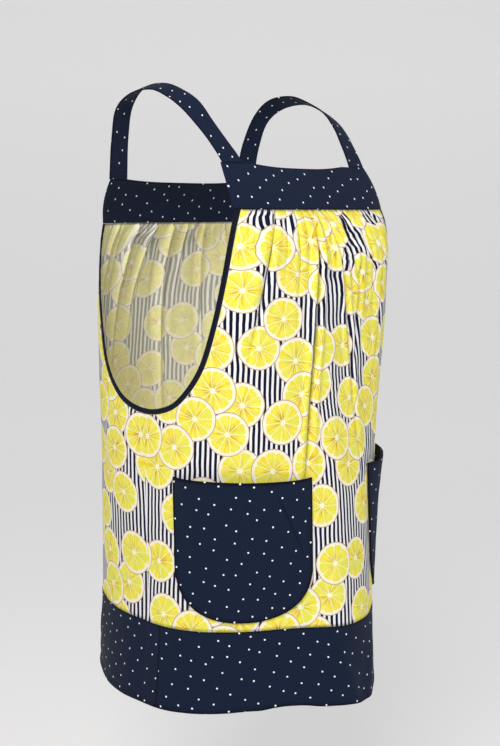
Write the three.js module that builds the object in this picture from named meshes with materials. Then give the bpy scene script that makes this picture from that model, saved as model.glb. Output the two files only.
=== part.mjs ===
// Over-the-head cobbler apron in its worn form: yokes and straps that hang from the shoulders,
// gathered front and back panels, bound armholes, two patch pockets and a deep hem band.
// Millimetres, +Z up, the front faces -Y, the wearer's left is +X.
// The origin lies midway between the two strap crests, where the shoulders carry the garment.
import * as THREE from "three";

const LENGTH = 802; // from the shoulders to the hem
const HALF_WIDTH = 183; // widest half width of the worn form
const FRONT_DEPTH = 185; // deepest reach in front of the plan centre
const BACK_DEPTH = 219; // deepest reach behind the plan centre
const CENTRE_BACK = 57; // how far the plan centre lies in front of the shoulders
const CLOTH = 1.5; // panel wall
const DOUBLE = 2.0; // yokes, straps and pockets, which are two layers
const BAND = 2.2; // folded hem band
const BAND_PROUD = 0.4; // how far the band and the yokes stand out from the panels
const GAP = 0.3; // clearance between neighbouring pieces
const AXIS_Y = -CENTRE_BACK;
const SIDE_ANGLE = 96; // the panels' side seams, in degrees from the centre front
const BAND_ANGLE = 88; // the hem band's seams
const SEAM_GAP = 0.08; // each side of a seam, in degrees

const FRONT_YOKE = { top: -97, bottom: -154, topAngle: 63.8, bottomAngle: 56.2, dip: 4.5 };
const BACK_YOKE = { top: -118, bottom: -178, topAngle: 46, bottomAngle: 45.7, dip: 3 };
const STRAP = { inner: 107, outer: 142, bow: 15, frontReach: 129, backReach: 84, drop: 118 };
const BINDING = { width: 7, thickness: 2.6 };
const BAND_TOP = -693;
const HEM = -LENGTH;
const POCKET = { centre: 50.3, halfAngle: 30, top: -490, shoulder: -600, bottom: -680, power: 2.4 };
const POCKET_FULLNESS = 10; // how far the pocket's middle stands out at its mouth
const POCKET_DIP = 0.5; // how far its mouth sags
const POCKET_CLEAR = 0.9;
const GATHER = { depth: 3, fade: 130, free: 30, start: 10 };
const DRAPE = { depth: 1.1, hang: 120 };
const HEM_LOW = 9; // the hem's drop behind the side seams
const HEM_HIGH = 13.5; // its rise at the front

// Plan sections of the worn form. down is a share of LENGTH; side, front and back are half axes as shares of
// HALF_WIDTH, FRONT_DEPTH and BACK_DEPTH; the powers say how square each half is; flute is how far the front
// waves in and out, as a share of HALF_WIDTH.
const FORM = [
  { down: 0.1209, side: 0.9727, front: 0.3908, frontPower: 7.0, back: 0.6027, backPower: 7.0, flute: 0.0000 },
  { down: 0.1471, side: 0.9727, front: 0.4649, frontPower: 6.2, back: 0.6484, backPower: 6.5, flute: 0.0000 },
  { down: 0.1920, side: 0.9836, front: 0.6000, frontPower: 4.5, back: 0.7123, backPower: 5.2, flute: 0.0000 },
  { down: 0.2219, side: 0.9836, front: 0.6865, frontPower: 3.8, back: 0.7443, backPower: 4.5, flute: 0.0000 },
  { down: 0.2681, side: 0.9891, front: 0.7676, frontPower: 3.2, back: 0.8219, backPower: 3.6, flute: 0.0000 },
  { down: 0.3741, side: 0.9945, front: 0.8000, frontPower: 2.8, back: 0.9132, backPower: 3.0, flute: 0.0000 },
  { down: 0.4988, side: 1.0000, front: 0.8216, frontPower: 2.4, back: 0.9406, backPower: 2.7, flute: 0.0055 },
  { down: 0.6060, side: 0.9945, front: 0.8703, frontPower: 2.1, back: 0.9543, backPower: 2.5, flute: 0.0164 },
  { down: 0.7481, side: 0.9617, front: 0.9243, frontPower: 2.0, back: 0.9909, backPower: 2.4, flute: 0.0273 },
  { down: 0.8641, side: 0.9454, front: 0.9622, frontPower: 1.95, back: 1.0000, backPower: 2.4, flute: 0.0410 },
  { down: 1.0000, side: 0.9781, front: 1.0000, frontPower: 1.95, back: 0.9726, backPower: 2.4, flute: 0.0519 },
];

// Seam line between a panel's cloth and the armhole binding, from the front yoke round to the back yoke.
// The first and last rows lie just under the yokes.
const ARMHOLE = [
  { angle: 53.9, down: 0.1925 },
  { angle: 56.0, down: 0.2494 },
  { angle: 58.4, down: 0.3055 },
  { angle: 62.0, down: 0.3716 },
  { angle: 67.2, down: 0.4377 },
  { angle: 73.2, down: 0.4763 },
  { angle: 80.0, down: 0.5025 },
  { angle: 88.0, down: 0.5155 },
  { angle: 96.0, down: 0.5195 },
  { angle: 104.0, down: 0.5155 },
  { angle: 112.5, down: 0.5019 },
  { angle: 120.5, down: 0.4738 },
  { angle: 127.0, down: 0.4314 },
  { angle: 131.0, down: 0.3716 },
  { angle: 134.2, down: 0.2968 },
  { angle: 136.3, down: 0.2224 },
];
const ARMHOLE_SEAM = 8; // the row of ARMHOLE that lies on the side seam

// A strap's two edges over the shoulder. Each station holds the way along, as a share of STRAP.frontReach in
// front of the crest and of STRAP.backReach behind it, the way out, as a share of STRAP.bow, and the height,
// as a share of STRAP.drop.
const STRAP_PATH = [
  { inner: [-1.000, 0.000, -0.8186], outer: [-0.984, -0.100, -0.8186] },
  { inner: [-0.818, 0.587, -0.5590], outer: [-0.806, 0.253, -0.5760] },
  { inner: [-0.694, 0.933, -0.3810], outer: [-0.702, 0.493, -0.4490] },
  { inner: [-0.543, 1.033, -0.2030], outer: [-0.547, 0.667, -0.2970] },
  { inner: [-0.333, 1.000, -0.0740], outer: [-0.302, 0.667, -0.1400] },
  { inner: [-0.047, 1.000, 0.0220], outer: [-0.078, 0.667, -0.0590] },
  { inner: [0.429, 0.933, -0.0210], outer: [0.405, 0.600, -0.1100] },
  { inner: [0.714, 0.767, -0.2030], outer: [0.714, 0.467, -0.2630] },
  { inner: [0.893, 0.367, -0.5250], outer: [0.857, 0.200, -0.5590] },
  { inner: [1.000, 0.000, -0.9966], outer: [0.952, 0.000, -0.9966] },
];

const rad = THREE.MathUtils.degToRad;
const clamp = THREE.MathUtils.clamp;
const bell = (x, centre, width) => Math.exp(-(((x - centre) / width) ** 2));

// Monotone cubic through a table's rows, for one named column, as a function of another.
function column(table, key, along = "down") {
  const rows = [...table].sort((p, q) => p[along] - q[along]);
  const x = rows.map((r) => r[along]);
  const y = rows.map((r) => r[key]);
  const slope = x.slice(1).map((v, i) => (y[i + 1] - y[i]) / (v - x[i]));
  const tangent = x.map((_, i) => {
    if (i === 0) return slope[0];
    if (i === x.length - 1) return slope[i - 1];
    if (slope[i - 1] * slope[i] <= 0) return 0;
    return (2 * slope[i - 1] * slope[i]) / (slope[i - 1] + slope[i]);
  });
  return (at) => {
    const v = clamp(at, x[0], x[x.length - 1]);
    let i = x.findIndex((edge, k) => k > 0 && v <= edge) - 1;
    if (i < 0) i = 0;
    const h = x[i + 1] - x[i];
    const t = (v - x[i]) / h;
    const a = y[i] * (1 + 2 * t) * (1 - t) ** 2 + y[i + 1] * t * t * (3 - 2 * t);
    return a + h * (tangent[i] * t * (1 - t) ** 2 - tangent[i + 1] * t * t * (1 - t));
  };
}

const formSize = (key, unit) => {
  const share = column(FORM, key);
  return (z) => unit * share(-z / LENGTH);
};
const side = formSize("side", HALF_WIDTH);
const front = formSize("front", FRONT_DEPTH);
const frontPower = formSize("frontPower", 1);
const back = formSize("back", BACK_DEPTH);
const backPower = formSize("backPower", 1);
const flute = formSize("flute", HALF_WIDTH);

// Angles run from the centre front, positive to the wearer's left. z is the height.
function radius(angle, z) {
  const s = Math.abs(Math.sin(angle));
  const c = Math.cos(angle);
  const isFront = c > 0;
  const depth = isFront ? front(z) : back(z);
  const power = isFront ? frontPower(z) : backPower(z);
  const plain = ((s / side(z)) ** power + (Math.abs(c) / depth) ** power) ** (-1 / power);
  return plain + flute(z) * (isFront ? Math.cos(4 * angle) : s * s);
}

// How far down the skirt a height is, from 0 above the pockets' bottoms to 1 at the hem.
const skirt = (z) => clamp((-z / LENGTH - 0.72) / 0.28, 0, 1);

// The hem hangs a little lower behind the side seams and a little higher at the front.
function sag(angle, z) {
  const a = THREE.MathUtils.radToDeg(angle);
  const low = HEM_LOW * bell(Math.abs(a), 130, 44);
  const high = HEM_HIGH * bell(a, -27, 23);
  return skirt(z) * (high - low);
}

// Soft folds: close gathers under each yoke that open out and fade downwards, then a few long folds.
function folds(angle, z, yokeBottom, spread) {
  const below = yokeBottom - z;
  const across = angle / spread;
  const middle = clamp((0.98 - Math.abs(across)) / 0.35, 0, 1);
  const start = 1 - 0.75 * Math.exp(-below / GATHER.start);
  const gather = start * Math.exp(-((Math.max(below - GATHER.free, 0) / GATHER.fade) ** 2));
  const lean = across - (0.28 * below) / LENGTH;
  const close = 0.65 * Math.cos(62 * lean) + 0.45 * Math.cos(41 * lean + 1.1);
  const long = Math.cos(9 * across + 0.8) + 0.5 * Math.cos(17 * across + 2.3);
  const hang = clamp(below / DRAPE.hang, 0, 1);
  return middle * GATHER.depth * gather * close + DRAPE.depth * hang * long * (middle * 0.7 + 0.3);
}

function formPoint(angle, z, lift = 0) {
  const r = radius(angle, z) + lift;
  return new THREE.Vector3(r * Math.sin(angle), AXIS_Y - r * Math.cos(angle), z + sag(angle, z));
}

const frontFold = (angle, z) => folds(angle, z, FRONT_YOKE.bottom, rad(FRONT_YOKE.bottomAngle));
const backAngle = (angle) => (angle > 0 ? Math.PI - angle : -Math.PI - angle);
const backFold = (angle, z) => folds(backAngle(angle), z, BACK_YOKE.bottom, rad(BACK_YOKE.bottomAngle));

// Samples the armhole seam line as a smooth curve. The side seam is one of the samples.
const ARC = (HALF_WIDTH * Math.PI) / 180; // about the length of one degree of the form
const armholeCurve = new THREE.CatmullRomCurve3(
  ARMHOLE.map((row, k) => {
    const z = k === 0 ? FRONT_YOKE.bottom - 0.4 : k === ARMHOLE.length - 1 ? BACK_YOKE.bottom - 0.4 : -LENGTH * row.down;
    return new THREE.Vector3(row.angle * ARC, z, 0);
  }),
  false,
  "centripetal",
);
function armholeRow(t) {
  const p = armholeCurve.getPoint(t);
  const d = armholeCurve.getTangent(t);
  return { angle: p.x / ARC, z: p.y, awayAngle: d.y / ARC, awayZ: -d.x };
}
const seamAt = ARMHOLE_SEAM / (ARMHOLE.length - 1);
const FRONT_STEPS = 13;
const BACK_STEPS = 13;
const frontRows = Array.from({ length: FRONT_STEPS + 1 }, (_, k) => armholeRow((seamAt * k) / FRONT_STEPS));
const backRows = Array.from({ length: BACK_STEPS + 1 }, (_, k) => armholeRow(1 - ((1 - seamAt) * k) / BACK_STEPS));

// Closed solid between a grid of outer points and the same grid moved inwards along its normals.
// Rows run down and columns run to the wearer's left. The first and last rows keep level edges.
function sheetSolid(rows, thickness, facing = 1) {
  const high = rows.length;
  const wide = rows[0].length;
  const normals = rows.map((row, i) =>
    row.map((_, j) => {
      const acrossEdge = new THREE.Vector3().subVectors(row[Math.min(j + 1, wide - 1)], row[Math.max(j - 1, 0)]);
      const upper = rows[Math.max(i - 1, 0)][j];
      const lower = rows[Math.min(i + 1, high - 1)][j];
      const down = new THREE.Vector3().subVectors(lower, upper);
      const normal = down.cross(acrossEdge).multiplyScalar(facing).normalize();
      if (i === 0 || i === high - 1) normal.z = 0;
      return normal.normalize();
    }),
  );
  const points = [];
  rows.forEach((row) => row.forEach((p) => points.push(p.clone())));
  rows.forEach((row, i) => row.forEach((p, j) => points.push(p.clone().addScaledVector(normals[i][j], -thickness))));
  const outer = (i, j) => i * wide + j;
  const inner = (i, j) => high * wide + i * wide + j;
  const faces = [];
  const quad = (a, b, c, d) => {
    if (facing > 0) faces.push(a, b, c, a, c, d);
    else faces.push(a, c, b, a, d, c);
  };
  for (let i = 0; i < high - 1; i++) {
    for (let j = 0; j < wide - 1; j++) {
      quad(outer(i, j), outer(i + 1, j), outer(i + 1, j + 1), outer(i, j + 1));
      quad(inner(i, j), inner(i, j + 1), inner(i + 1, j + 1), inner(i + 1, j));
    }
  }
  for (let j = 0; j < wide - 1; j++) {
    quad(outer(0, j), outer(0, j + 1), inner(0, j + 1), inner(0, j));
    quad(outer(high - 1, j), inner(high - 1, j), inner(high - 1, j + 1), outer(high - 1, j + 1));
  }
  for (let i = 0; i < high - 1; i++) {
    quad(outer(i, 0), inner(i, 0), inner(i + 1, 0), outer(i + 1, 0));
    quad(outer(i, wide - 1), outer(i + 1, wide - 1), inner(i + 1, wide - 1), inner(i, wide - 1));
  }
  return geometryOf(points, faces);
}

function geometryOf(points, faces) {
  const geometry = new THREE.BufferGeometry();
  geometry.setAttribute("position", new THREE.Float32BufferAttribute(points.flatMap((p) => [p.x, p.y, p.z]), 3));
  geometry.setIndex(faces);
  geometry.computeVertexNormals();
  return geometry;
}

// Rows for a band of the form between two heights. centre is 0 for the front and 180 for the back.
function bandRows(heights, spreads, columns, centre, lift) {
  return heights.map((z, i) =>
    Array.from({ length: columns + 1 }, (_, j) => {
      const across = (2 * j) / columns - 1;
      const turn = across * spreads[i];
      const angle = rad(centre === 0 ? turn : wrap(180 + turn));
      return formPoint(angle, z, lift(angle, z));
    }),
  );
}
const wrap = (degrees) => (degrees > 180 ? degrees - 360 : degrees);

function panel(isFront, columns) {
  const rows = isFront ? frontRows : backRows;
  const clear = 0.3;
  const seam = (isFront ? SIDE_ANGLE : 180 - SIDE_ANGLE) - SEAM_GAP;
  const heights = [];
  const spreads = [];
  rows.forEach((row, k) => {
    const last = k === rows.length - 1;
    heights.push(k === 0 ? row.z : row.z + clear * row.awayZ);
    const angle = row.angle + clear * row.awayAngle;
    spreads.push(last ? seam : isFront ? angle : 180 - angle);
  });
  const bottomOfArmhole = heights[heights.length - 1];
  for (const t of [0.09, 0.27, 0.45, 0.63, 0.81, 1]) {
    heights.push(THREE.MathUtils.lerp(bottomOfArmhole, BAND_TOP + GAP, t));
    spreads.push(seam);
  }
  const fold = isFront ? frontFold : backFold;
  return sheetSolid(bandRows(heights, spreads, columns, isFront ? 0 : 180, fold), CLOTH);
}

function hemBand(isFront, columns) {
  const heights = [0, 0.24, 0.5, 0.76, 1].map((t) => THREE.MathUtils.lerp(BAND_TOP, HEM, t));
  const seam = (isFront ? BAND_ANGLE : 180 - BAND_ANGLE) - SEAM_GAP;
  const fold = (angle, z) => (Math.abs(angle) < rad(SIDE_ANGLE) ? frontFold : backFold)(angle, z);
  const lift = (angle, z) => fold(angle, z) + BAND_PROUD;
  return sheetSolid(bandRows(heights, heights.map(() => seam), columns, isFront ? 0 : 180, lift), BAND);
}

function yoke(size, isFront, columns) {
  const levels = [0, 0.25, 0.5, 0.75, 1];
  const rows = levels.map((t) =>
    Array.from({ length: columns + 1 }, (_, j) => {
      const across = (2 * j) / columns - 1;
      const turn = across * THREE.MathUtils.lerp(size.topAngle, size.bottomAngle, t);
      const free = clamp(1 - (Math.abs(across) / 0.8) ** 4, 0, 1);
      const z = THREE.MathUtils.lerp(size.top - size.dip * free, size.bottom, t);
      return formPoint(rad(isFront ? turn : wrap(180 + turn)), z, BAND_PROUD);
    }),
  );
  return sheetSolid(rows, DOUBLE);
}

// A strap runs along its path. Its stations stand for the sheet's rows.
function strap(mirror) {
  const steps = 26;
  const curve = (side) =>
    new THREE.CatmullRomCurve3(
      STRAP_PATH.map((row) => {
        const [along, out, height] = row[side];
        const reach = along < 0 ? STRAP.frontReach : STRAP.backReach;
        return new THREE.Vector3(STRAP[side] + STRAP.bow * out, reach * along, STRAP.drop * height);
      }),
      false,
      "centripetal",
    );
  const inner = curve("inner");
  const outer = curve("outer");
  const rows = [];
  for (let k = 0; k <= steps; k++) {
    const a = inner.getPoint(k / steps);
    const b = outer.getPoint(k / steps);
    rows.push([0, 1 / 3, 2 / 3, 1].map((t) => new THREE.Vector3().lerpVectors(a, b, t)));
  }
  rows.forEach((row) => row.forEach((p) => (p.x *= mirror)));
  if (mirror < 0) rows.forEach((row) => row.reverse());
  rows[0].forEach((p) => (p.z = FRONT_YOKE.top + GAP));
  rows[steps].forEach((p) => (p.z = BACK_YOKE.top + GAP));
  rows.reverse();
  return sheetSolid(rows, DOUBLE, -1);
}

// Binding round one armhole: a folded strip whose section is a flat rounded bar.
function binding(mirror) {
  const stations = [...frontRows, ...[...backRows].reverse().slice(1)];
  const half = BINDING.thickness / 2;
  const section = [
    { across: 0.2, out: 0.6 * half },
    { across: 0.9, out: half },
    { across: BINDING.width - 0.8, out: half },
    { across: BINDING.width + 0.1, out: 0.3 * half },
    { across: BINDING.width + 0.1, out: -0.3 * half },
    { across: BINDING.width - 0.8, out: -half },
    { across: 0.9, out: -half },
    { across: 0.2, out: -0.6 * half },
  ];
  const edge = (row, shift) => {
    const angle = rad(row.angle - shift * row.awayAngle);
    const z = row.z - shift * row.awayZ;
    const inFront = row.angle < SIDE_ANGLE;
    return formPoint(angle * mirror, z, (inFront ? frontFold : backFold)(rad(row.angle) * mirror, row.z));
  };
  const points = [];
  stations.forEach((row, k) => {
    const atEnd = k === 0 || k === stations.length - 1;
    const level = atEnd ? { ...row, awayZ: 0 } : row;
    const start = edge(level, 0);
    const reach = edge(level, BINDING.width);
    const across = new THREE.Vector3().subVectors(reach, start).normalize();
    const ahead = edge(stations[Math.min(k + 1, stations.length - 1)], 0);
    const behind = edge(stations[Math.max(k - 1, 0)], 0);
    const along = new THREE.Vector3().subVectors(ahead, behind).normalize();
    const out = new THREE.Vector3().crossVectors(along, across).normalize().multiplyScalar(-mirror);
    if (out.x * start.x + out.y * (start.y - AXIS_Y) < 0) out.negate();
    const middle = start.clone().addScaledVector(out, -CLOTH / 2);
    section.forEach((corner) => {
      const p = middle.clone().addScaledVector(across, corner.across).addScaledVector(out, corner.out);
      if (atEnd) p.z = row.z;
      points.push(p);
    });
  });
  const n = section.length;
  const faces = [];
  const quad = (a, b, c, d) => {
    if (mirror < 0) faces.push(a, b, c, a, c, d);
    else faces.push(a, c, b, a, d, c);
  };
  for (let k = 0; k < stations.length - 1; k++) {
    for (let i = 0; i < n; i++) {
      const j = (i + 1) % n;
      quad(k * n + i, k * n + j, (k + 1) * n + j, (k + 1) * n + i);
    }
  }
  const last = (stations.length - 1) * n;
  for (let i = 1; i < n - 1; i++) {
    if (mirror < 0) {
      faces.push(0, i + 1, i, last, last + i, last + i + 1);
    } else {
      faces.push(0, i, i + 1, last, last + i + 1, last + i);
    }
  }
  return geometryOf(points, faces);
}

// Patch pocket: sewn down at its sides and its rounded bottom, standing a little open at the top.
function pocket(mirror) {
  const { lerp } = THREE.MathUtils;
  const heights = [
    ...[0, 0.23, 0.5, 0.77].map((t) => lerp(POCKET.top, POCKET.shoulder, t)),
    ...[0, 0.25, 0.46, 0.64, 0.775, 0.88, 0.955, 0.9925].map((t) => lerp(POCKET.shoulder, POCKET.bottom, t)),
  ];
  const columns = 12;
  const rows = heights.map((z) => {
    const down = clamp((POCKET.shoulder - z) / (POCKET.shoulder - POCKET.bottom), 0, 1);
    const width = (1 - down ** POCKET.power) ** (1 / POCKET.power);
    return Array.from({ length: columns + 1 }, (_, j) => {
      const across = (2 * j) / columns - 1;
      const turn = rad(-POCKET.centre + across * POCKET.halfAngle * width);
      const open = (1 - across ** 4) * (1 - ((POCKET.top - z) / (POCKET.top - POCKET.bottom)) ** 2);
      const angle = mirror < 0 ? turn : -turn;
      const lift = frontFold(angle, z) + DOUBLE + POCKET_CLEAR + POCKET_FULLNESS * open;
      const dip = POCKET_DIP * (1 - across * across) * bell(z, POCKET.top, LENGTH * 0.075);
      const p = formPoint(angle, z, lift);
      p.z -= dip;
      return p;
    });
  });
  if (mirror > 0) rows.forEach((row) => row.reverse());
  return sheetSolid(rows, DOUBLE);
}

const dotted = new THREE.MeshStandardMaterial({ color: 0x222b4a, roughness: 0.85, metalness: 0 });
const printed = new THREE.MeshStandardMaterial({ color: 0xd9cf86, roughness: 0.85, metalness: 0 });
const bound = new THREE.MeshStandardMaterial({ color: 0x161c33, roughness: 0.8, metalness: 0 });

const apron = new THREE.Group();
function add(name, geometry, material) {
  const mesh = new THREE.Mesh(geometry, material);
  mesh.name = name;
  apron.add(mesh);
}

add("front_yoke", yoke(FRONT_YOKE, true, 20), dotted);
add("back_yoke", yoke(BACK_YOKE, false, 20), dotted);
add("strap_left", strap(1), dotted);
add("strap_right", strap(-1), dotted);
add("front_panel", panel(true, 40), printed);
add("back_panel", panel(false, 32), printed);
add("armhole_binding_left", binding(1), bound);
add("armhole_binding_right", binding(-1), bound);
add("pocket_left", pocket(1), dotted);
add("pocket_right", pocket(-1), dotted);
add("front_hem_band", hemBand(true, 36), dotted);
add("back_hem_band", hemBand(false, 32), dotted);

export default apron;
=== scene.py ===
# %% [markdown]
# # A cobbler apron in lemon print and dotted navy
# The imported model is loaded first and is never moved. It says where each piece lies, and every piece of cloth
# made below takes the place of one of its plain solids. Lengths are in millimetres until a mesh is filled,
# because a cutter thinks in millimetres, and Blender's own unit is the metre.

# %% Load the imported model
import math

import bpy
import numpy as np
from mathutils import Matrix, Vector


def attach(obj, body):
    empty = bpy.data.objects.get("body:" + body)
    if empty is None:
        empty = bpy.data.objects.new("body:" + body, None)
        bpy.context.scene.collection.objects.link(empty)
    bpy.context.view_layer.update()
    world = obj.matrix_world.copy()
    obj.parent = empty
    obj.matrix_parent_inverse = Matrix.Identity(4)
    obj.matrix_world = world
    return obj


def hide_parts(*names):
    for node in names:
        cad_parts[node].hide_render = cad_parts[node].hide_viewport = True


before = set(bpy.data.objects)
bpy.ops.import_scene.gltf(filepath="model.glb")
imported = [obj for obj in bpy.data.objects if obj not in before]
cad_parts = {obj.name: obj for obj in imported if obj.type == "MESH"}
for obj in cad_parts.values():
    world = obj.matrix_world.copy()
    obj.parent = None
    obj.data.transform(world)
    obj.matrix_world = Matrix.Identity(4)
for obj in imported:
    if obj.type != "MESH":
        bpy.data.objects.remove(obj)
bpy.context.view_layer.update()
MM = 0.001

# %% [markdown]
# ## Camera
# The apron is seen from the wearer's right and a little above, from about 1.6 m away. A long lens keeps its
# proportions true, so the camera is given by its turn, its dip and its focal length, and its matrix is worked
# out from them.

# %% Place the camera
VIEW_TURN = math.radians(47.31)
VIEW_DIP = math.radians(8.63)
VIEW_ROLL = math.radians(0.87)
VIEW_DISTANCE = 1628.9
VIEW_ASIDE = 14.2
VIEW_HEIGHT = -135.6
VIEW_FORWARD = -30.0
SENSOR = 36.0
IMAGE_WIDTH = 500
FOCAL_PIXELS = 1179.6


def camera_matrix():
    """Matrix of the camera: turned round Z, dipped, then rolled about its own view line."""
    level_right = np.array([math.cos(VIEW_TURN), -math.sin(VIEW_TURN), 0.0])
    away = np.array([math.sin(VIEW_TURN), math.cos(VIEW_TURN), 0.0])
    forward = away * math.cos(VIEW_DIP) - np.array([0.0, 0.0, math.sin(VIEW_DIP)])
    level_up = np.cross(level_right, forward)
    right = math.cos(VIEW_ROLL) * level_right + math.sin(VIEW_ROLL) * level_up
    up = math.cos(VIEW_ROLL) * level_up - math.sin(VIEW_ROLL) * level_right
    place = level_right * VIEW_ASIDE - away * VIEW_DISTANCE
    place += np.array([0.0, VIEW_FORWARD, VIEW_HEIGHT])
    matrix = np.eye(4)
    matrix[:3, :3] = np.stack([right, up, -forward], axis=1)
    matrix[:3, 3] = place * MM
    return Matrix(matrix.tolist())


scene = bpy.context.scene
camera_data = bpy.data.cameras.new("camera")
camera_data.sensor_fit = "HORIZONTAL"
camera_data.sensor_width = SENSOR
camera_data.lens = FOCAL_PIXELS / IMAGE_WIDTH * SENSOR
camera = bpy.data.objects.new("camera", camera_data)
camera.matrix_world = camera_matrix()
scene.collection.objects.link(camera)
scene.camera = camera
scene.view_settings.view_transform = "Standard"
print("lens, mm:", round(camera_data.lens, 1))

# %% [markdown]
# ## The worn form
# Worn cloth has no drawing of its own: it follows what it lies on. Here that form is a stack of plan
# sections, each a squarish ellipse, kept as shares of a few driving sizes. A smooth curve through each column
# gives the section at any height. Sculpting would reach the same shape, but a formula keeps yoke, panels,
# pockets and hem band lying on one another exactly.

# %% Sections of the worn form
LENGTH = 802.0
HALF_WIDTH = 183.0
FRONT_DEPTH = 185.0
BACK_DEPTH = 219.0
CENTRE_Y = -57.0
# down is a share of LENGTH, side and flute are shares of HALF_WIDTH, front of FRONT_DEPTH, back of BACK_DEPTH
FORM_COLUMNS = ("down", "side", "front", "front_power", "back", "back_power", "flute")
FORM = np.array(
    [
        (0.1209, 0.9727, 0.3908, 7.0, 0.6027, 7.0, 0.0),
        (0.1471, 0.9727, 0.4649, 6.2, 0.6484, 6.5, 0.0),
        (0.1920, 0.9836, 0.6000, 4.5, 0.7123, 5.2, 0.0),
        (0.2219, 0.9836, 0.6865, 3.8, 0.7443, 4.5, 0.0),
        (0.2681, 0.9891, 0.7676, 3.2, 0.8219, 3.6, 0.0),
        (0.3741, 0.9945, 0.8000, 2.8, 0.9132, 3.0, 0.0),
        (0.4988, 1.0000, 0.8216, 2.4, 0.9406, 2.7, 0.0055),
        (0.6060, 0.9945, 0.8703, 2.1, 0.9543, 2.5, 0.0164),
        (0.7481, 0.9617, 0.9243, 2.0, 0.9909, 2.4, 0.0273),
        (0.8641, 0.9454, 0.9622, 1.95, 1.0000, 2.4, 0.0410),
        (1.0000, 0.9781, 1.0000, 1.95, 0.9726, 2.4, 0.0519),
    ]
)


def through(x, y, at):
    """Monotone cubic through (x, y): each row's slope is the harmonic mean of the slopes on its two sides."""
    slope = np.diff(y) / np.diff(x)
    product = slope[:-1] * slope[1:]
    total = slope[:-1] + slope[1:]
    inner = np.where(product > 0, 2 * product / np.where(total == 0, 1, total), 0)
    tangent = np.concatenate([slope[:1], inner, slope[-1:]])
    at = np.clip(at, x[0], x[-1])
    i = np.clip(np.searchsorted(x, at) - 1, 0, len(x) - 2)
    h = x[i + 1] - x[i]
    t = (at - x[i]) / h
    value = y[i] * (1 + 2 * t) * (1 - t) ** 2 + y[i + 1] * t * t * (3 - 2 * t)
    return value + h * (tangent[i] * t * (1 - t) ** 2 - tangent[i + 1] * t * t * (1 - t))


def section(name, z):
    """One column of FORM at height z."""
    return through(FORM[:, 0], FORM[:, FORM_COLUMNS.index(name)], -z / LENGTH)


def bell(x, centre, width):
    """exp(-((x - centre) / width) squared): 1 at the centre and nearly 0 two widths away."""
    return np.exp(-(((x - centre) / width) ** 2))


def radius(angle, z):
    """Distance from the plan centre: the superellipse of the front or back half, plus the hem's flutes."""
    s = np.abs(np.sin(angle))
    c = np.cos(angle)
    is_front = c > 0
    depth = np.where(is_front, FRONT_DEPTH * section("front", z), BACK_DEPTH * section("back", z))
    power = np.where(is_front, section("front_power", z), section("back_power", z))
    side = HALF_WIDTH * section("side", z)
    plain = ((s / side) ** power + (np.abs(c) / depth) ** power) ** (-1 / power)
    flute = HALF_WIDTH * section("flute", z)
    return plain + flute * np.where(is_front, np.cos(4 * angle), s * s)


SKIRT_TOP = 0.72
HEM_RISE = {"height": 13.5, "at": -27.0, "width": 23.0}
HEM_DROP = {"height": 9.0, "at": 130.0, "width": 44.0}


def sag(angle, z):
    """Height added below SKIRT_TOP: a bell up in front, and a bell down behind each side seam."""
    skirt = np.clip((-z / LENGTH - SKIRT_TOP) / (1 - SKIRT_TOP), 0, 1)
    degrees = np.degrees(angle)
    rise = HEM_RISE["height"] * bell(degrees, HEM_RISE["at"], HEM_RISE["width"])
    drop = HEM_DROP["height"] * bell(np.abs(degrees), HEM_DROP["at"], HEM_DROP["width"])
    return skirt * (rise - drop)


def on_form(angle, z, lift=0.0):
    """Point of the worn form at an angle from the centre front, at height z, lifted off it by lift."""
    r = radius(angle, z) + lift
    return np.stack([r * np.sin(angle), CENTRE_Y - r * np.cos(angle), z + sag(angle, z)], axis=-1)


def form_angle(degrees):
    """Radians of an angle round the form, within half a turn either way of the centre front."""
    angle = np.radians(degrees)
    return np.where(angle > np.pi, angle - 2 * np.pi, angle)


chest = 2 * section("side", np.array([-400.0]))[0] * HALF_WIDTH
print("form, mm across at the bust:", round(float(chest)))

# %% [markdown]
# ## Small unevenness
# Real cotton is never quite smooth. A value noise, smooth between seeded random numbers on a lattice, adds
# that wherever it is needed: it costs nothing and gives the same cloth on each run.

# %% Smooth noise
LATTICE = 64


def smooth(x):
    """Smooth step 3x^2 - 2x^3 of x from 0 to 1."""
    return x * x * (3 - 2 * x)


def uneven(u, v, cell, seed):
    """Value noise from -1 to 1: random lattice values, blended with a smooth step between neighbours."""
    table = np.random.default_rng(seed).uniform(-1, 1, (LATTICE, LATTICE))
    x = u / cell
    y = v / cell
    i = np.floor(x).astype(int)
    j = np.floor(y).astype(int)
    fx = smooth(x - i)
    fy = smooth(y - j)
    i0, i1 = i % LATTICE, (i + 1) % LATTICE
    j0, j1 = j % LATTICE, (j + 1) % LATTICE
    a = table[i0, j0] * (1 - fx) + table[i1, j0] * fx
    b = table[i0, j1] * (1 - fx) + table[i1, j1] * fx
    return a * (1 - fy) + b * fy


def rumple(u, v, coarse, fine, seed, lean=0.0):
    """Two noises, each a pair of height and cell in mm, the fine one leaning by lean for each step of v."""
    return coarse[0] * uneven(u, v, coarse[1], seed) + fine[0] * uneven(u + lean * v, v, fine[1], seed + 1)


print("noise sample:", np.round(uneven(np.arange(3.0), np.zeros(3), 2.5, 1), 3))

# %% [markdown]
# ## Folds
# The cloth is gathered into each yoke. Close under the seam there are many small puckers, and a few of them
# run on as long folds that lean and fade. Each fold is one row of a table: a valley with a soft ridge on both
# sides, and the cloth beside it drawn in towards it, so that the valley closes up as a real tuck does.
# A cloth simulation could make gathers too, but they could not be laid where this garment has them.

# %% Fold tables
FRONT_BOTTOM = -154.0
BACK_BOTTOM = -178.0
FRONT_SPREAD = 56.2
BACK_SPREAD = 45.7
ARC = math.radians(HALF_WIDTH)
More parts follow.
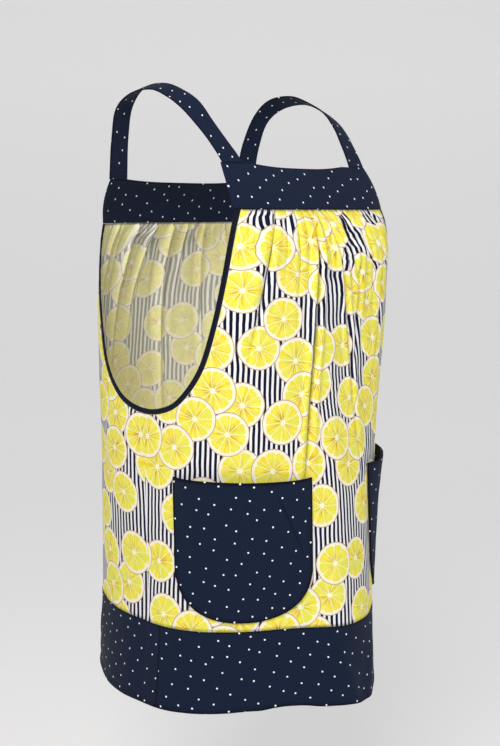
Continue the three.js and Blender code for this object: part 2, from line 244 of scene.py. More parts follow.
# degrees from the centre, drift in degrees for 100 mm down, half width, depth and reach in mm, and pinch
FRONT_FOLDS = [
    (-38.0, -6.5, 5.0, 9.0, 160, 0.9),
    (-31.5, -4.0, 3.6, 3.6, 60, 0.8),
    (-25.0, -2.5, 4.2, 5.0, 95, 0.85),
    (-19.0, -3.0, 3.6, 4.2, 65, 0.8),
    (-12.6, -3.0, 5.4, 19.0, 280, 1.05),
    (-6.0, 1.5, 4.0, 4.6, 75, 0.85),
    (0.5, 4.2, 5.0, 11.5, 215, 0.98),
    (6.0, 5.0, 3.6, 4.0, 60, 0.8),
    (11.5, 4.5, 4.4, 6.0, 120, 0.9),
    (17.0, -2.0, 3.6, 3.8, 55, 0.8),
    (23.0, -6.0, 5.2, 8.0, 150, 0.95),
    (32.0, -3.0, 4.4, 5.5, 95, 0.85),
    (43.0, -6.0, 5.4, 7.5, 150, 0.95),
]
BACK_FOLDS = [
    (-33.0, -4.0, 5.4, 6.5, 140, 0.9),
    (-21.0, -2.0, 5.0, 7.5, 180, 0.95),
    (-10.0, 1.0, 4.6, 5.0, 90, 0.85),
    (1.0, -2.0, 6.2, 10.0, 230, 1.0),
    (12.0, 3.0, 4.6, 5.5, 110, 0.9),
    (23.0, 2.0, 5.6, 8.5, 190, 0.95),
    (34.0, 4.0, 4.8, 5.5, 120, 0.9),
]


def puckers(count, spread, seed):
    """Small gathers: rows like those above, evenly spread with a jitter, their sizes drawn at random."""
    draw = np.random.default_rng(seed)
    at = np.linspace(-spread, spread, count) + draw.uniform(-1.0, 1.0, count)
    parts = [
        at,
        draw.uniform(-3.0, 3.0, count),
        draw.uniform(1.9, 3.2, count),
        draw.uniform(1.6, 3.4, count),
        draw.uniform(16, 52, count),
        draw.uniform(0.6, 0.95, count),
    ]
    return np.stack(parts, axis=1)


front_folds = np.concatenate([np.array(FRONT_FOLDS), puckers(36, 50.0, 11)])
back_folds = np.concatenate([np.array(BACK_FOLDS), puckers(30, 41.0, 12)])
print("folds in front and behind:", len(front_folds), len(back_folds))

# %% Fold shapes
VALLEY_SHARPNESS = 1.7
VALLEY_ROUND = 0.03
VALLEY_BOTTOM = 0.173
RIDGE_AWAY = 1.8
RIDGE_WIDTH = 1.1
RIDGE_SHARE = 0.45
PINCH_SPREAD = 1.6
DRAPE_DEPTH = 1.1
DRAPE_HANG = 120.0
DRAPE_EDGE = 0.3
# waves from the centre to the edge in radians, where they start, and their share of DRAPE_DEPTH
DRAPE_WAVES = ((9, 0.8, 1.0), (17, 2.3, 0.5))


def fold_field(degrees, below, folds):
    """Lift off the form and sideways shift, in mm, summed over the folds.

    away counts a fold's half widths from its middle. The valley is an exponential of minus the root of away
    squared plus a little, so it is narrow and yet not creased, and a bell on each side makes the ridges. The
    shift draws the cloth beside it inwards. All of it fades with exp(-(below / reach) squared).
    """
    lift = np.zeros_like(degrees)
    shift = np.zeros_like(degrees)
    for at, drift, width, depth, reach, pinch in folds:
        away = (degrees - at - drift * below / 100) * ARC / width
        strength = np.exp(-((below / reach) ** 2))
        ridges = bell(away, RIDGE_AWAY, RIDGE_WIDTH) + bell(away, -RIDGE_AWAY, RIDGE_WIDTH)
        valley = np.exp(-VALLEY_SHARPNESS * (np.sqrt(away**2 + VALLEY_ROUND) - VALLEY_BOTTOM))
        lift += depth * strength * (RIDGE_SHARE * ridges - valley)
        shift -= pinch * width * strength * away * np.exp(-(away**2) / PINCH_SPREAD)
    return lift, shift


def drape(angle, z, bottom, spread):
    """Long shallow folds of the hanging cloth, weaker towards the armholes and side seams."""
    across = np.degrees(angle) / spread
    middle = np.clip((0.98 - np.abs(across)) / 0.35, 0, 1)
    hang = np.clip((bottom - z) / DRAPE_HANG, 0, 1)
    waves = sum(share * np.cos(rate * across + start) for rate, start, share in DRAPE_WAVES)
    return DRAPE_DEPTH * hang * waves * (DRAPE_EDGE + (1 - DRAPE_EDGE) * middle)


def front_drape(angle, z):
    """Drape of the front panel, whose angle is measured from the centre front."""
    return drape(angle, z, FRONT_BOTTOM, FRONT_SPREAD)


def back_drape(angle, z):
    """Drape of the back panel, with the angle measured from the centre back."""
    from_back = np.where(angle > 0, np.pi - angle, -np.pi - angle)
    return drape(from_back, z, BACK_BOTTOM, BACK_SPREAD)


SIDE_SEAM = 96.0


def body_drape(angle, z):
    """Front or back drape, whichever side of the side seam the angle is on."""
    is_front = np.abs(angle) < np.radians(SIDE_SEAM)
    return np.where(is_front, front_drape(angle, z), back_drape(angle, z))


print("deepest fold, mm:", max(fold[3] for fold in FRONT_FOLDS))

# %% [markdown]
# ## Armhole line
# A deep U runs from the front yoke, under the arm, to the back yoke. It is drawn once, as a curve in angle
# and height, and both panels and the binding take their edges from it.

# %% Armhole curve
# degrees from the centre front, and height as a share of LENGTH
ARMHOLE = np.array(
    [
        (53.9, 0.1925),
        (56.0, 0.2494),
        (58.4, 0.3055),
        (62.0, 0.3716),
        (67.2, 0.4377),
        (73.2, 0.4763),
        (80.0, 0.5025),
        (88.0, 0.5155),
        (96.0, 0.5195),
        (104.0, 0.5155),
        (112.5, 0.5019),
        (120.5, 0.4738),
        (127.0, 0.4314),
        (131.0, 0.3716),
        (134.2, 0.2968),
        (136.3, 0.2224),
    ]
)
SEAM_ROW = 8
EDGE_GAP = 0.3
UNDER_YOKE = 0.4


def catmull_rom(points, at):
    """Centripetal Catmull-Rom curve: each stretch blends its four nearest points by their spacing's root."""
    first = 2 * points[0] - points[1]
    last = 2 * points[-1] - points[-2]
    padded = np.vstack([first, points, last])
    i = np.clip(np.floor(at).astype(int), 0, len(points) - 2)
    t = (at - i)[:, None]
    p0, p1, p2, p3 = (padded[i + k] for k in range(4))
    d0 = np.linalg.norm(p1 - p0, axis=1, keepdims=True) ** 0.5
    d1 = np.linalg.norm(p2 - p1, axis=1, keepdims=True) ** 0.5
    d2 = np.linalg.norm(p3 - p2, axis=1, keepdims=True) ** 0.5
    m1 = ((p1 - p0) / d0 - (p2 - p0) / (d0 + d1) + (p2 - p1) / d1) * d1
    m2 = ((p2 - p1) / d1 - (p3 - p1) / (d1 + d2) + (p3 - p2) / d2) * d1
    cubic = 2 * p1 - 2 * p2 + m1 + m2
    square = -3 * p1 + 3 * p2 - 2 * m1 - m2
    return ((cubic * t + square) * t + m1) * t + p1


def armhole_line(at):
    """Angle in degrees, height, and the unit direction towards the panel's cloth, at places along ARMHOLE."""
    near = 0.01
    last = len(ARMHOLE) - 1
    points = np.stack([ARMHOLE[:, 0] * ARC, -LENGTH * ARMHOLE[:, 1]], axis=1)
    points[0, 1] = FRONT_BOTTOM - UNDER_YOKE
    points[-1, 1] = BACK_BOTTOM - UNDER_YOKE
    place = catmull_rom(points, at)
    step = catmull_rom(points, np.minimum(at + near, last)) - catmull_rom(points, np.maximum(at - near, 0))
    step /= np.linalg.norm(step, axis=1, keepdims=True)
    return place[:, 0] / ARC, place[:, 1], step[:, 1] / ARC, -step[:, 0]


bottom_of_armhole = armhole_line(np.array([float(SEAM_ROW)]))
print("armhole bottom, degrees and mm:", [round(float(v[0]), 1) for v in bottom_of_armhole[:2]])

# %% [markdown]
# ## Cloth as a closed shell
# Every piece of cloth is one sheet of points with a small thickness. Points run down and across, a middle
# surface lies half a thickness inside them, and both faces part from it. At the borders the two faces meet in
# a half round, as a pressed fold does, so no edge is a raw cut. Solidify would give square rims instead.

# %% Shell of cloth


def steps(count, size, roll):
    """Parameters from 0 to 1: even in the middle, and crowded within roll of each end for a round edge."""
    crowd = roll / size * np.array([0.0, 0.08, 0.3, 0.62])
    middle = np.linspace(roll / size, 1 - roll / size, count)
    return np.concatenate([crowd, middle, 1 - crowd[::-1]])


def edge_roundness(at, size, roll):
    """Share of the full thickness near the ends of a row: the height of a quarter circle of radius roll."""
    inside = np.minimum(np.minimum(at, 1 - at) * size / roll, 1)
    return np.sqrt(np.clip(1 - (1 - inside) ** 2, 0, 1))


def normals_of(sheet):
    """Unit normals of a sheet of points: the step down crossed with the step across."""
    normal = np.cross(np.gradient(sheet, axis=0), np.gradient(sheet, axis=1))
    return normal / np.maximum(np.linalg.norm(normal, axis=2, keepdims=True), 1e-9)


def fill_mesh(name, points, faces, uv, materials, face_material=None):
    """Mesh object at the origin from points in mm, four-cornered faces and each point's place on cloth."""
    mesh = bpy.data.meshes.new(name)
    mesh.vertices.add(len(points))
    mesh.vertices.foreach_set("co", (points * MM).astype(np.float32).ravel())
    mesh.loops.add(faces.size)
    mesh.loops.foreach_set("vertex_index", faces.astype(np.int32).ravel())
    mesh.polygons.add(len(faces))
    mesh.polygons.foreach_set("loop_start", np.arange(0, faces.size, faces.shape[1], dtype=np.int32))
    mesh.update(calc_edges=True)
    mesh.polygons.foreach_set("use_smooth", np.ones(len(faces), bool))
    layer = mesh.uv_layers.new(name="cloth")
    layer.data.foreach_set("uv", (uv[faces.ravel()] * MM).astype(np.float32).ravel())
    for material in materials:
        mesh.materials.append(material)
    if face_material is not None:
        mesh.polygons.foreach_set("material_index", face_material.astype(np.int32))
    mesh.validate()
    piece = bpy.data.objects.new(name, mesh)
    scene.collection.objects.link(piece)
    return piece


def cloth_shell(name, sheet, thickness, uv, roundness, right_side, wrong_side=None, painted_shade=None):
    """Closed shell: middle surface plus and minus half the thickness times roundness along the normals.

    Painted shade, 1 deep in folds and creases and along seams and edges, is kept as a point attribute.
    """
    high, wide = sheet.shape[:2]
    normal = normals_of(sheet)
    half = (thickness / 2 * roundness)[..., None]
    middle = sheet - normal * thickness / 2
    outer = middle + normal * half
    inner = middle - normal * half
    index = np.arange(high * wide).reshape(high, wide)
    lining = index + high * wide
    lining[[0, -1], :] = index[[0, -1], :]
    lining[:, [0, -1]] = index[:, [0, -1]]

    def quads(grid, turned):
        corners = [grid[:-1, :-1], grid[1:, :-1], grid[1:, 1:], grid[:-1, 1:]]
        if turned:
            corners = corners[::-1]
        return np.stack(corners, axis=-1).reshape(-1, 4)

    faces = np.concatenate([quads(index, False), quads(lining, True)])
    points = np.concatenate([outer.reshape(-1, 3), inner.reshape(-1, 3)])
    used = np.unique(faces)
    renumber = np.zeros(len(points), int)
    renumber[used] = np.arange(len(used))
    flat = np.tile(uv.reshape(-1, 2), (2, 1))
    materials = [right_side] if wrong_side is None else [right_side, wrong_side]
    side = np.zeros(len(faces), int)
    side[len(faces) // 2 :] = len(materials) - 1
    shell = fill_mesh(name, points[used], renumber[faces], flat[used], materials, side)
    if painted_shade is not None:
        kept = shell.data.attributes.new("painted_shade", "FLOAT", "POINT")
        kept.data.foreach_set("value", np.tile(np.clip(painted_shade, 0, 1).ravel(), 2)[used].astype(np.float32))
    return shell


def cloth_area(piece):
    """Area of one face of a closed shell, in square metres: half of its whole surface."""
    areas = np.zeros(len(piece.data.polygons))
    piece.data.polygons.foreach_get("area", areas)
    return float(areas.sum() / 2)


def along(points, axis):
    """Running length of a sheet of points along one axis."""
    gaps = np.linalg.norm(np.diff(points, axis=axis), axis=2)
    start = np.zeros_like(np.take(gaps, [0], axis=axis))
    return np.concatenate([start, np.cumsum(gaps, axis=axis)], axis=axis)


print("steps near an edge:", np.round(steps(3, 10, 1), 3))

# %% [markdown]
# ## Node tools
# Materials are built from small arithmetic nodes. Short helpers place a node, join what is a socket and set
# what is a number, so that a formula in a material reads like a formula.

# %% Node helpers


def join(tree, socket, value):
    """Links a socket to value when value is another socket, and otherwise sets value on it."""
    if isinstance(value, bpy.types.NodeSocket):
        tree.links.new(value, socket)
    elif isinstance(value, tuple) and len(value) == 3 and socket.type == "RGBA":
        socket.default_value = (*value, 1.0)
    else:
        socket.default_value = value


def sums(tree, operation, *values, clamp=False):
    """A Math node's result."""
    node = tree.nodes.new("ShaderNodeMath")
    node.operation = operation
    node.use_clamp = clamp
    for socket, value in zip(node.inputs, values):
        join(tree, socket, value)
    return node.outputs[0]


def vectors(tree, operation, *values):
    """A Vector Math node's result: a number for LENGTH and DOT_PRODUCT, a vector for the rest."""
    node = tree.nodes.new("ShaderNodeVectorMath")
    node.operation = operation
    for socket, value in zip(node.inputs, values):
        join(tree, socket, value)
    return node.outputs["Value" if operation in ("LENGTH", "DOT_PRODUCT") else "Vector"]


def stretch(tree, vector, factor):
    """A vector made longer or shorter by a factor."""
    scaled = vectors(tree, "SCALE", vector)
    join(tree, scaled.node.inputs["Scale"], factor)
    return scaled


def blend(tree, kind, amount, first, second):
    """A Mix node's result for kind RGBA, VECTOR or FLOAT."""
    node = tree.nodes.new("ShaderNodeMix")
    node.data_type = kind
    join(tree, node.inputs["Factor"], amount)
    sockets = [s for s in node.inputs if s.type == {"FLOAT": "VALUE"}.get(kind, kind) and s.name in "AB"]
    join(tree, sockets[0], first)
    join(tree, sockets[1], second)
    return next(s for s in node.outputs if s.type == sockets[0].type)


def ramp(tree, value, low, high):
    """Smooth step of value from 0 at low to 1 at high, or falling where low is above high."""
    node = tree.nodes.new("ShaderNodeMapRange")
    node.interpolation_type = "SMOOTHSTEP"
    join(tree, node.inputs["Value"], value)
    falling = low > high
    join(tree, node.inputs["From Min"], min(low, high))
    join(tree, node.inputs["From Max"], max(low, high))
    join(tree, node.inputs["To Min"], 1.0 if falling else 0.0)
    join(tree, node.inputs["To Max"], 0.0 if falling else 1.0)
    return node.outputs["Result"]


def noise(tree, place, scale, detail=2.0, dimensions="3D"):
    """A Noise texture's value at a place."""
    node = tree.nodes.new("ShaderNodeTexNoise")
    node.noise_dimensions = dimensions
    join(tree, node.inputs["Vector"], place)
    join(tree, node.inputs["Scale"], scale)
    join(tree, node.inputs["Detail"], detail)
    return node.outputs["Fac"]


def new_group(name, inputs, outputs):
    """An empty shader node group with named sockets, its input sockets, and its output node."""
    tree = bpy.data.node_groups.new(name, "ShaderNodeTree")
    for label, kind in inputs:
        tree.interface.new_socket(name=label, in_out="INPUT", socket_type=kind)
    for label, kind in outputs:
        tree.interface.new_socket(name=label, in_out="OUTPUT", socket_type=kind)
    given = tree.nodes.new("NodeGroupInput")
    result = tree.nodes.new("NodeGroupOutput")
    return tree, given.outputs, result.inputs


def use_group(tree, group, **values):
    """Places a group in a tree and gives back its output sockets."""
    node = tree.nodes.new("ShaderNodeGroup")
    node.node_tree = group
    for label, value in values.items():
        join(tree, node.inputs[label], value)
    return node.outputs


def paint(red, green, blue):
    """Linear colour of an sRGB one given from 0 to 255."""
    parts = np.array([red, green, blue]) / 255
    linear = np.where(parts <= 0.04045, parts / 12.92, ((parts + 0.055) / 1.055) ** 2.4)
    return tuple(float(v) for v in linear)


VECTOR = "NodeSocketVector"
NUMBER = "NodeSocketFloat"
COLOUR = "NodeSocketColor"
print("navy in linear light:", np.round(paint(34, 42, 68), 4))

# %% [markdown]
# ## One citrus slice
# A slice is drawn in polar coordinates: how far out a point is, and which way. Distance gives the thin rind
# line, the cream pith and the flesh. Angle, cut into nine or ten parts, gives the segments, with pale skins
# between them and rounded outer corners. Noise that changes fast with the angle and slowly with the distance
# draws the juicy streaks. Nothing here is a picture: each slice takes its turn and tint from one number.

# %% Citrus slice group
SEGMENTS = 9.0
MORE_SEGMENTS = 0.55
SKIN = 0.017
CORNER = 0.13
CORNER_CUT = 0.09
STAR = 0.085
FLESH_EDGE = 0.845
RIND_LINE = 0.965


def slice_group():
    """Colour of one slice at a place given in slice radii from its centre; Seed turns and tints it.

    A slice has SEGMENTS parts, and one more where its seed passes MORE_SEGMENTS.
    """
    tree, given, result = new_group(
        "citrus slice", [("Place", VECTOR), ("Seed", NUMBER)], [("Colour", COLOUR)]
    )
    parts = tree.nodes.new("ShaderNodeSeparateXYZ")
    join(tree, parts.inputs[0], given["Place"])
    far = vectors(tree, "LENGTH", given["Place"])
    seed = given["Seed"]
    turn = sums(tree, "MULTIPLY_ADD", seed, 37.0, sums(tree, "ARCTAN2", parts.outputs[1], parts.outputs[0]))
    count = sums(tree, "ADD", SEGMENTS, sums(tree, "GREATER_THAN", seed, MORE_SEGMENTS))
    share = sums(tree, "FRACT", sums(tree, "MULTIPLY", turn, sums(tree, "DIVIDE", count, 2 * math.pi)))
    beside = sums(tree, "MINIMUM", share, sums(tree, "SUBTRACT", 1.0, share))
    width = sums(tree, "DIVIDE", sums(tree, "MULTIPLY", far, 2 * math.pi), count)
    from_skin = sums(tree, "MULTIPLY", beside, width)
    beside_skin = sums(tree, "SUBTRACT", 1.0, sums(tree, "DIVIDE", from_skin, CORNER), clamp=True)
    corner = sums(tree, "POWER", beside_skin, 2.0)
    flesh_edge = sums(tree, "MULTIPLY_ADD", corner, -CORNER_CUT, FLESH_EDGE)
    inside = ramp(tree, sums(tree, "SUBTRACT", flesh_edge, far), -0.008, 0.02)
    between = sums(tree, "MULTIPLY_ADD", ramp(tree, from_skin, SKIN * 0.4, SKIN * 1.8), 0.6, 0.4)
    on_skin = sums(tree, "EXPONENT", sums(tree, "MULTIPLY", from_skin, -34.0))
    star = sums(tree, "MULTIPLY_ADD", on_skin, -STAR, far)
    core = ramp(tree, star, 0.05, 0.10)
    flesh = sums(tree, "MULTIPLY", sums(tree, "MULTIPLY", inside, between), core)

    outward = vectors(tree, "NORMALIZE", given["Place"])
    deep = tree.nodes.new("ShaderNodeCombineXYZ")
    join(tree, deep.inputs[2], sums(tree, "MULTIPLY_ADD", seed, 23.0, sums(tree, "MULTIPLY", far, 0.55)))
    ray = vectors(tree, "ADD", stretch(tree, outward, 4.2), deep.outputs[0])
    fine = noise(tree, ray, 2.6, 3.0)
    broad = noise(tree, ray, 0.55, 1.0)
    grain = noise(tree, given["Place"], 9.0, 2.0)
    yellow = blend(tree, "RGBA", ramp(tree, fine, 0.34, 0.62), paint(238, 210, 40), paint(246, 234, 92))
    fresh = blend(tree, "RGBA", ramp(tree, broad, 0.44, 0.62), yellow, paint(230, 228, 84))
    near_core = sums(tree, "MULTIPLY", ramp(tree, far, 0.62, 0.2), ramp(tree, far, 0.06, 0.14))
    deep_streak = sums(tree, "MULTIPLY", near_core, ramp(tree, fine, 0.56, 0.40))
    streak = sums(tree, "MULTIPLY", deep_streak, ramp(tree, broad, 0.60, 0.46))
    golden = blend(tree, "RGBA", streak, fresh, paint(190, 132, 16))
    speckle = sums(tree, "MULTIPLY", ramp(tree, grain, 0.56, 0.66), 0.4)
    speckled = blend(tree, "RGBA", speckle, golden, paint(250, 246, 170))
    pith = blend(tree, "RGBA", ramp(tree, far, 0.80, 0.95), paint(248, 244, 214), paint(244, 234, 218))
    body = blend(tree, "RGBA", flesh, pith, speckled)
    rind = sums(tree, "MULTIPLY", ramp(tree, far, RIND_LINE - 0.012, RIND_LINE + 0.016), 0.85)
    join(tree, result["Colour"], blend(tree, "RGBA", rind, body, paint(158, 120, 56)))
    return tree


citrus_slice = slice_group()
print("nodes in the slice drawing:", len(citrus_slice.nodes))

# %% [markdown]
# ## A repeat of slices on stripes
# Printed cloth repeats. One repeat is laid out by throwing centres at it and keeping those that don't come
# too close to an earlier one, measured round the repeat's edges, so slices touch and overlap a little and
# never hide each other. The layout is made here and isn't copied from any cloth.

# %% Print layout
SLICE_RADIUS = 28.5
STRIPE = 7.0
REPEAT = np.array([42 * STRIPE, 280.0])
SLICE_COUNT = 27
CLOSEST = 40.0
DARTS = 4000
COUNT_STEP = 4


def lay_slices(seed):
    """Centres in the repeat, in mm, each at least CLOSEST from the others, found by seeded dart throwing."""
    draw = np.random.default_rng(seed)
    centres = np.zeros((0, 2))
    for dart in draw.uniform(0, 1, (DARTS, 2)) * REPEAT:
        gap = np.abs(centres - dart)
        gap = np.minimum(gap, REPEAT - gap)
        if len(centres) < SLICE_COUNT and (np.hypot(gap[:, 0], gap[:, 1]) > CLOSEST).all():
            centres = np.vstack([centres, dart])
    return centres


def coverage(centres):
    """Share of the repeat that the slices cover, counted on a lattice of COUNT_STEP mm."""
    u, v = np.meshgrid(np.arange(0, REPEAT[0], COUNT_STEP), np.arange(0, REPEAT[1], COUNT_STEP))
    gap = np.abs(np.stack([u, v], -1)[:, :, None] - centres)
    gap = np.minimum(gap, REPEAT - gap)
    return float((np.hypot(gap[..., 0], gap[..., 1]).min(axis=2) < SLICE_RADIUS).mean())


slice_centres = lay_slices(5)
print("slices in a repeat:", len(slice_centres), "covering", round(coverage(slice_centres), 2))

# %% Print groups
WANDER = 0.0016
NO_SLICE = (3.0, 0.0, 0.0)
STRIPE_EDGE = (0.25, 0.285)


def place_group():
    """Puts one slice over what lies under it: inside its circle, its place and seed replace those given."""
    tree, given, result = new_group(
        "slice in its place",
        [("Cloth", VECTOR), ("Centre", VECTOR), ("Radius", NUMBER), ("Seed", NUMBER)]
        + [("Under Place", VECTOR), ("Under Seed", NUMBER)],
        [("Place", VECTOR), ("Seed", NUMBER)],
    )
    apart = vectors(tree, "SUBTRACT", given["Cloth"], given["Centre"])
    half = (float(REPEAT[0] / 2 * MM), float(REPEAT[1] / 2 * MM), 1.0)
    near = vectors(tree, "WRAP", apart, half, tuple(-v for v in half))
    scaled = stretch(tree, near, sums(tree, "DIVIDE", 1.0, given["Radius"]))
    within = sums(tree, "LESS_THAN", vectors(tree, "LENGTH", scaled), 1.0)
    join(tree, result["Place"], blend(tree, "VECTOR", within, given["Under Place"], scaled))
    join(tree, result["Seed"], blend(tree, "FLOAT", within, given["Under Seed"], given["Seed"]))
    return tree


def print_group():
    """Colour of the printed cloth at a place on it in metres: stripes, under the slices of one repeat."""
    tree, given, result = new_group("lemon print", [("Cloth", VECTOR)], [("Colour", COLOUR)])
    wander = noise(tree, given["Cloth"], 34.0, 1.0, "2D")
    off = tree.nodes.new("ShaderNodeCombineXYZ")
    join(tree, off.inputs[0], sums(tree, "MULTIPLY_ADD", wander, WANDER, -WANDER / 2))
    cloth = vectors(tree, "ADD", given["Cloth"], off.outputs[0])
    draw = np.random.default_rng(21)
    placing = place_group()
    place = NO_SLICE
    seed = 0.0
    for u, v in slice_centres * MM:
        outputs = use_group(
            tree,
            placing,
            Cloth=cloth,
            Centre=(float(u), float(v), 0.0),
            Radius=float(SLICE_RADIUS * MM * draw.uniform(0.95, 1.05)),
            Seed=float(draw.uniform(0.02, 1)),
            **{"Under Place": place, "Under Seed": seed},
        )
        place = outputs["Place"]
        seed = outputs["Seed"]
    parts = tree.nodes.new("ShaderNodeSeparateXYZ")
    join(tree, parts.inputs[0], cloth)
    across = sums(tree, "PINGPONG", sums(tree, "DIVIDE", parts.outputs[0], STRIPE * MM), 0.5)
    stripe = ramp(tree, across, *STRIPE_EDGE)
    ground = blend(tree, "RGBA", stripe, paint(13, 17, 46), paint(240, 239, 238))
    drawn = use_group(tree, citrus_slice, Place=place, Seed=seed)["Colour"]
    on_slice = sums(tree, "LESS_THAN", vectors(tree, "LENGTH", place), 1.01)
    join(tree, result["Colour"], blend(tree, "RGBA", on_slice, ground, drawn))
    return tree


lemon_print = print_group()
print("nodes in the print:", len(lemon_print.nodes))

# %% [markdown]
# ## Pin dots
# The navy cloth has small white dots, scattered but never close together. A Voronoi texture whose points
# wander only part of the way from their lattice gives that, and a dot is what lies within a small radius.

# %% Dots, weave and mottling groups
DOT_SPACING = 20.5
DOT_RADIUS = 1.22
DOT_TURN = 0.38
DOT_LOOSENESS = 0.42
THREAD_PITCH = 0.5


def dots_group():
    """Mask that is 1 within a dot's radius of each point of a loosened lattice."""
    tree, given, result = new_group("pin dots", [("Cloth", VECTOR)], [("Mask", NUMBER)])
    node = tree.nodes.new("ShaderNodeTexVoronoi")
    node.voronoi_dimensions = "2D"
    turned = tree.nodes.new("ShaderNodeVectorRotate")
    turned.rotation_type = "Z_AXIS"
    join(tree, turned.inputs["Vector"], given["Cloth"])
    join(tree, turned.inputs["Angle"], DOT_TURN)
    join(tree, node.inputs["Vector"], turned.outputs[0])
    join(tree, node.inputs["Scale"], 1 / (DOT_SPACING * MM))
    join(tree, node.inputs["Randomness"], DOT_LOOSENESS)
    edge = DOT_RADIUS / DOT_SPACING
    join(tree, result["Mask"], ramp(tree, node.outputs["Distance"], edge * 1.12, edge * 0.88))
    return tree


def weave_group():
    """Height of a plain weave at a place in metres: crossing sines, and slubs of noise drawn out along V."""
    outputs = [("Height", NUMBER), ("Mottle", NUMBER)]
    tree, given, result = new_group("plain weave", [("Cloth", VECTOR)], outputs)
    parts = tree.nodes.new("ShaderNodeSeparateXYZ")
    join(tree, parts.inputs[0], given["Cloth"])
    rate = 2 * math.pi / (THREAD_PITCH * MM)
    warp = sums(tree, "SINE", sums(tree, "MULTIPLY", parts.outputs[0], rate))
    weft = sums(tree, "SINE", sums(tree, "MULTIPLY", parts.outputs[1], rate))
    crossing = sums(tree, "MULTIPLY", warp, weft)
    drawn = vectors(tree, "MULTIPLY", given["Cloth"], (1.0, 0.22, 1.0))
    slub = noise(tree, drawn, 900.0, 2.0)
    height = sums(tree, "MULTIPLY_ADD", crossing, 0.25, slub)
    join(tree, result["Height"], height)
    join(tree, result["Mottle"], noise(tree, given["Cloth"], 70.0, 3.0))
    return tree


pin_dots = dots_group()
plain_weave = weave_group()
print("threads to the centimetre:", round(10 / THREAD_PITCH * 2))

# %% [markdown]
# ## Materials
# Quilting cotton is matt, with a faint bloom where it is seen edge on, so each material is a rough Principled
# shader with a little sheen, a plain weave in its bump and a slow mottling of its colour. The same print,
# paler and greyer, is the wrong side of the cloth: it shows through the armholes, and part of its paleness
# is painted light for the shaded inside. Deep in a fold and along a pressed seam the cloth has creases finer
# than the mesh, which cannot cast their shade, so that shade is painted: the colour is darkened there by the
# shell's painted-shade attribute.

# %% Cotton materials
WEAVE_DEPTH = 0.00012
WEAVE_STRENGTH = 0.35
MOTTLE = 0.22
DARKEST_LEVEL = 0.89
FOLD_SHADE = 0.62
# share of pale undyed back in the wrong side, raised beyond that as painted light for the shaded inside
BACK_PALENESS_AND_PAINTED_LIGHT = 0.46


def cotton(name, colour_of, sheen, roughness=0.88):
    """Matt cotton coloured by colour_of(tree, cloth), mottled a little and bumped by its weave."""
    material = bpy.data.materials.new(name)
    material.use_nodes = True
    tree = material.node_tree
    shader = tree.nodes["Principled BSDF"]
    shader.inputs["Roughness"].default_value = roughness
    shader.inputs["Specular IOR Level"].default_value = 0.12
    shader.inputs["Sheen Weight"].default_value = sheen
    shader.inputs["Sheen Roughness"].default_value = 0.5
    place = tree.nodes.new("ShaderNodeUVMap")
    place.uv_map = "cloth"
    cloth = place.outputs["UV"]
    weave = use_group(tree, plain_weave, Cloth=cloth)
    level = sums(tree, "MULTIPLY_ADD", weave["Mottle"], MOTTLE, DARKEST_LEVEL)
    tree.links.new(stretch(tree, colour_of(tree, cloth), level), shader.inputs["Base Color"])
    bump = tree.nodes.new("ShaderNodeBump")
    bump.inputs["Strength"].default_value = WEAVE_STRENGTH
    bump.inputs["Distance"].default_value = WEAVE_DEPTH
    tree.links.new(weave["Height"], bump.inputs["Height"])
    tree.links.new(bump.outputs["Normal"], shader.inputs["Normal"])
    return material


def print_colour(tree, cloth):
    """The print as it left the machine."""
    return use_group(tree, lemon_print, Cloth=cloth)["Colour"]


def painted_shade_share(tree):
    """The shell's attribute of painted shade: 1 deep in folds and creases and along seams and edges."""
    node = tree.nodes.new("ShaderNodeAttribute")
    node.attribute_name = "painted_shade"
    return node.outputs["Fac"]


def right_side_colour(tree, cloth):
    """The print, darker in the depth of a fold, where its two sides shade each other."""
    shade = sums(tree, "MULTIPLY", painted_shade_share(tree), FOLD_SHADE)
    return blend(tree, "RGBA", shade, print_colour(tree, cloth), paint(52, 46, 40))


def wrong_side_colour(tree, cloth):
    """The same print seen from behind: half of it lost in the undyed back of the threads, partly as painted
    light.
    """
    return blend(tree, "RGBA", BACK_PALENESS_AND_PAINTED_LIGHT, print_colour(tree, cloth), paint(250, 248, 232))


def dotted_colour(tree, cloth):
    """White pin dots on navy, darkened with painted shade deep in folds and creases and along seams and edges.
    """
    dots = use_group(tree, pin_dots, Cloth=cloth)["Mask"]
    # painted shade: the navy turns to a darker navy where the shell's painted-shade attribute is high
    navy = blend(tree, "RGBA", painted_shade_share(tree), paint(19, 30, 53), paint(6, 8, 17))
    return blend(tree, "RGBA", dots, navy, paint(244, 246, 250))


def plain_navy(tree, cloth):
    """Bias binding, a little darker than the dotted cloth."""
    streak = noise(tree, cloth, 260.0, 2.0)
    return blend(tree, "RGBA", streak, paint(12, 15, 28), paint(19, 23, 41))


def thread_navy(tree, cloth):
    """Sewing thread, a shade lighter than the cloth that it lies on."""
    return blend(tree, "RGBA", noise(tree, cloth, 500.0, 1.0), paint(30, 36, 58), paint(44, 50, 76))


printed_cotton = cotton("printed cotton", right_side_colour, 0.04)
printed_back = cotton("printed cotton wrong side", wrong_side_colour, 0.04)
dotted_cotton = cotton("dotted cotton", dotted_colour, 0.03)
bias_binding = cotton("bias binding", plain_navy, 0.05)
navy_thread = cotton("navy thread", thread_navy, 0.05, 0.6)
print("materials:", len(bpy.data.materials))

# %% [markdown]
# ## Yokes
# A yoke is two layers of dotted cotton, pressed and turned, so it is smooth and firm, with rolled edges. It
# follows the form between two heights and swells a little between them. Its top edge dips between the straps,
# a faint ridge along each edge shows the seam allowance that is pressed inside it, and the shade along the
# seams is painted in as a darker navy.

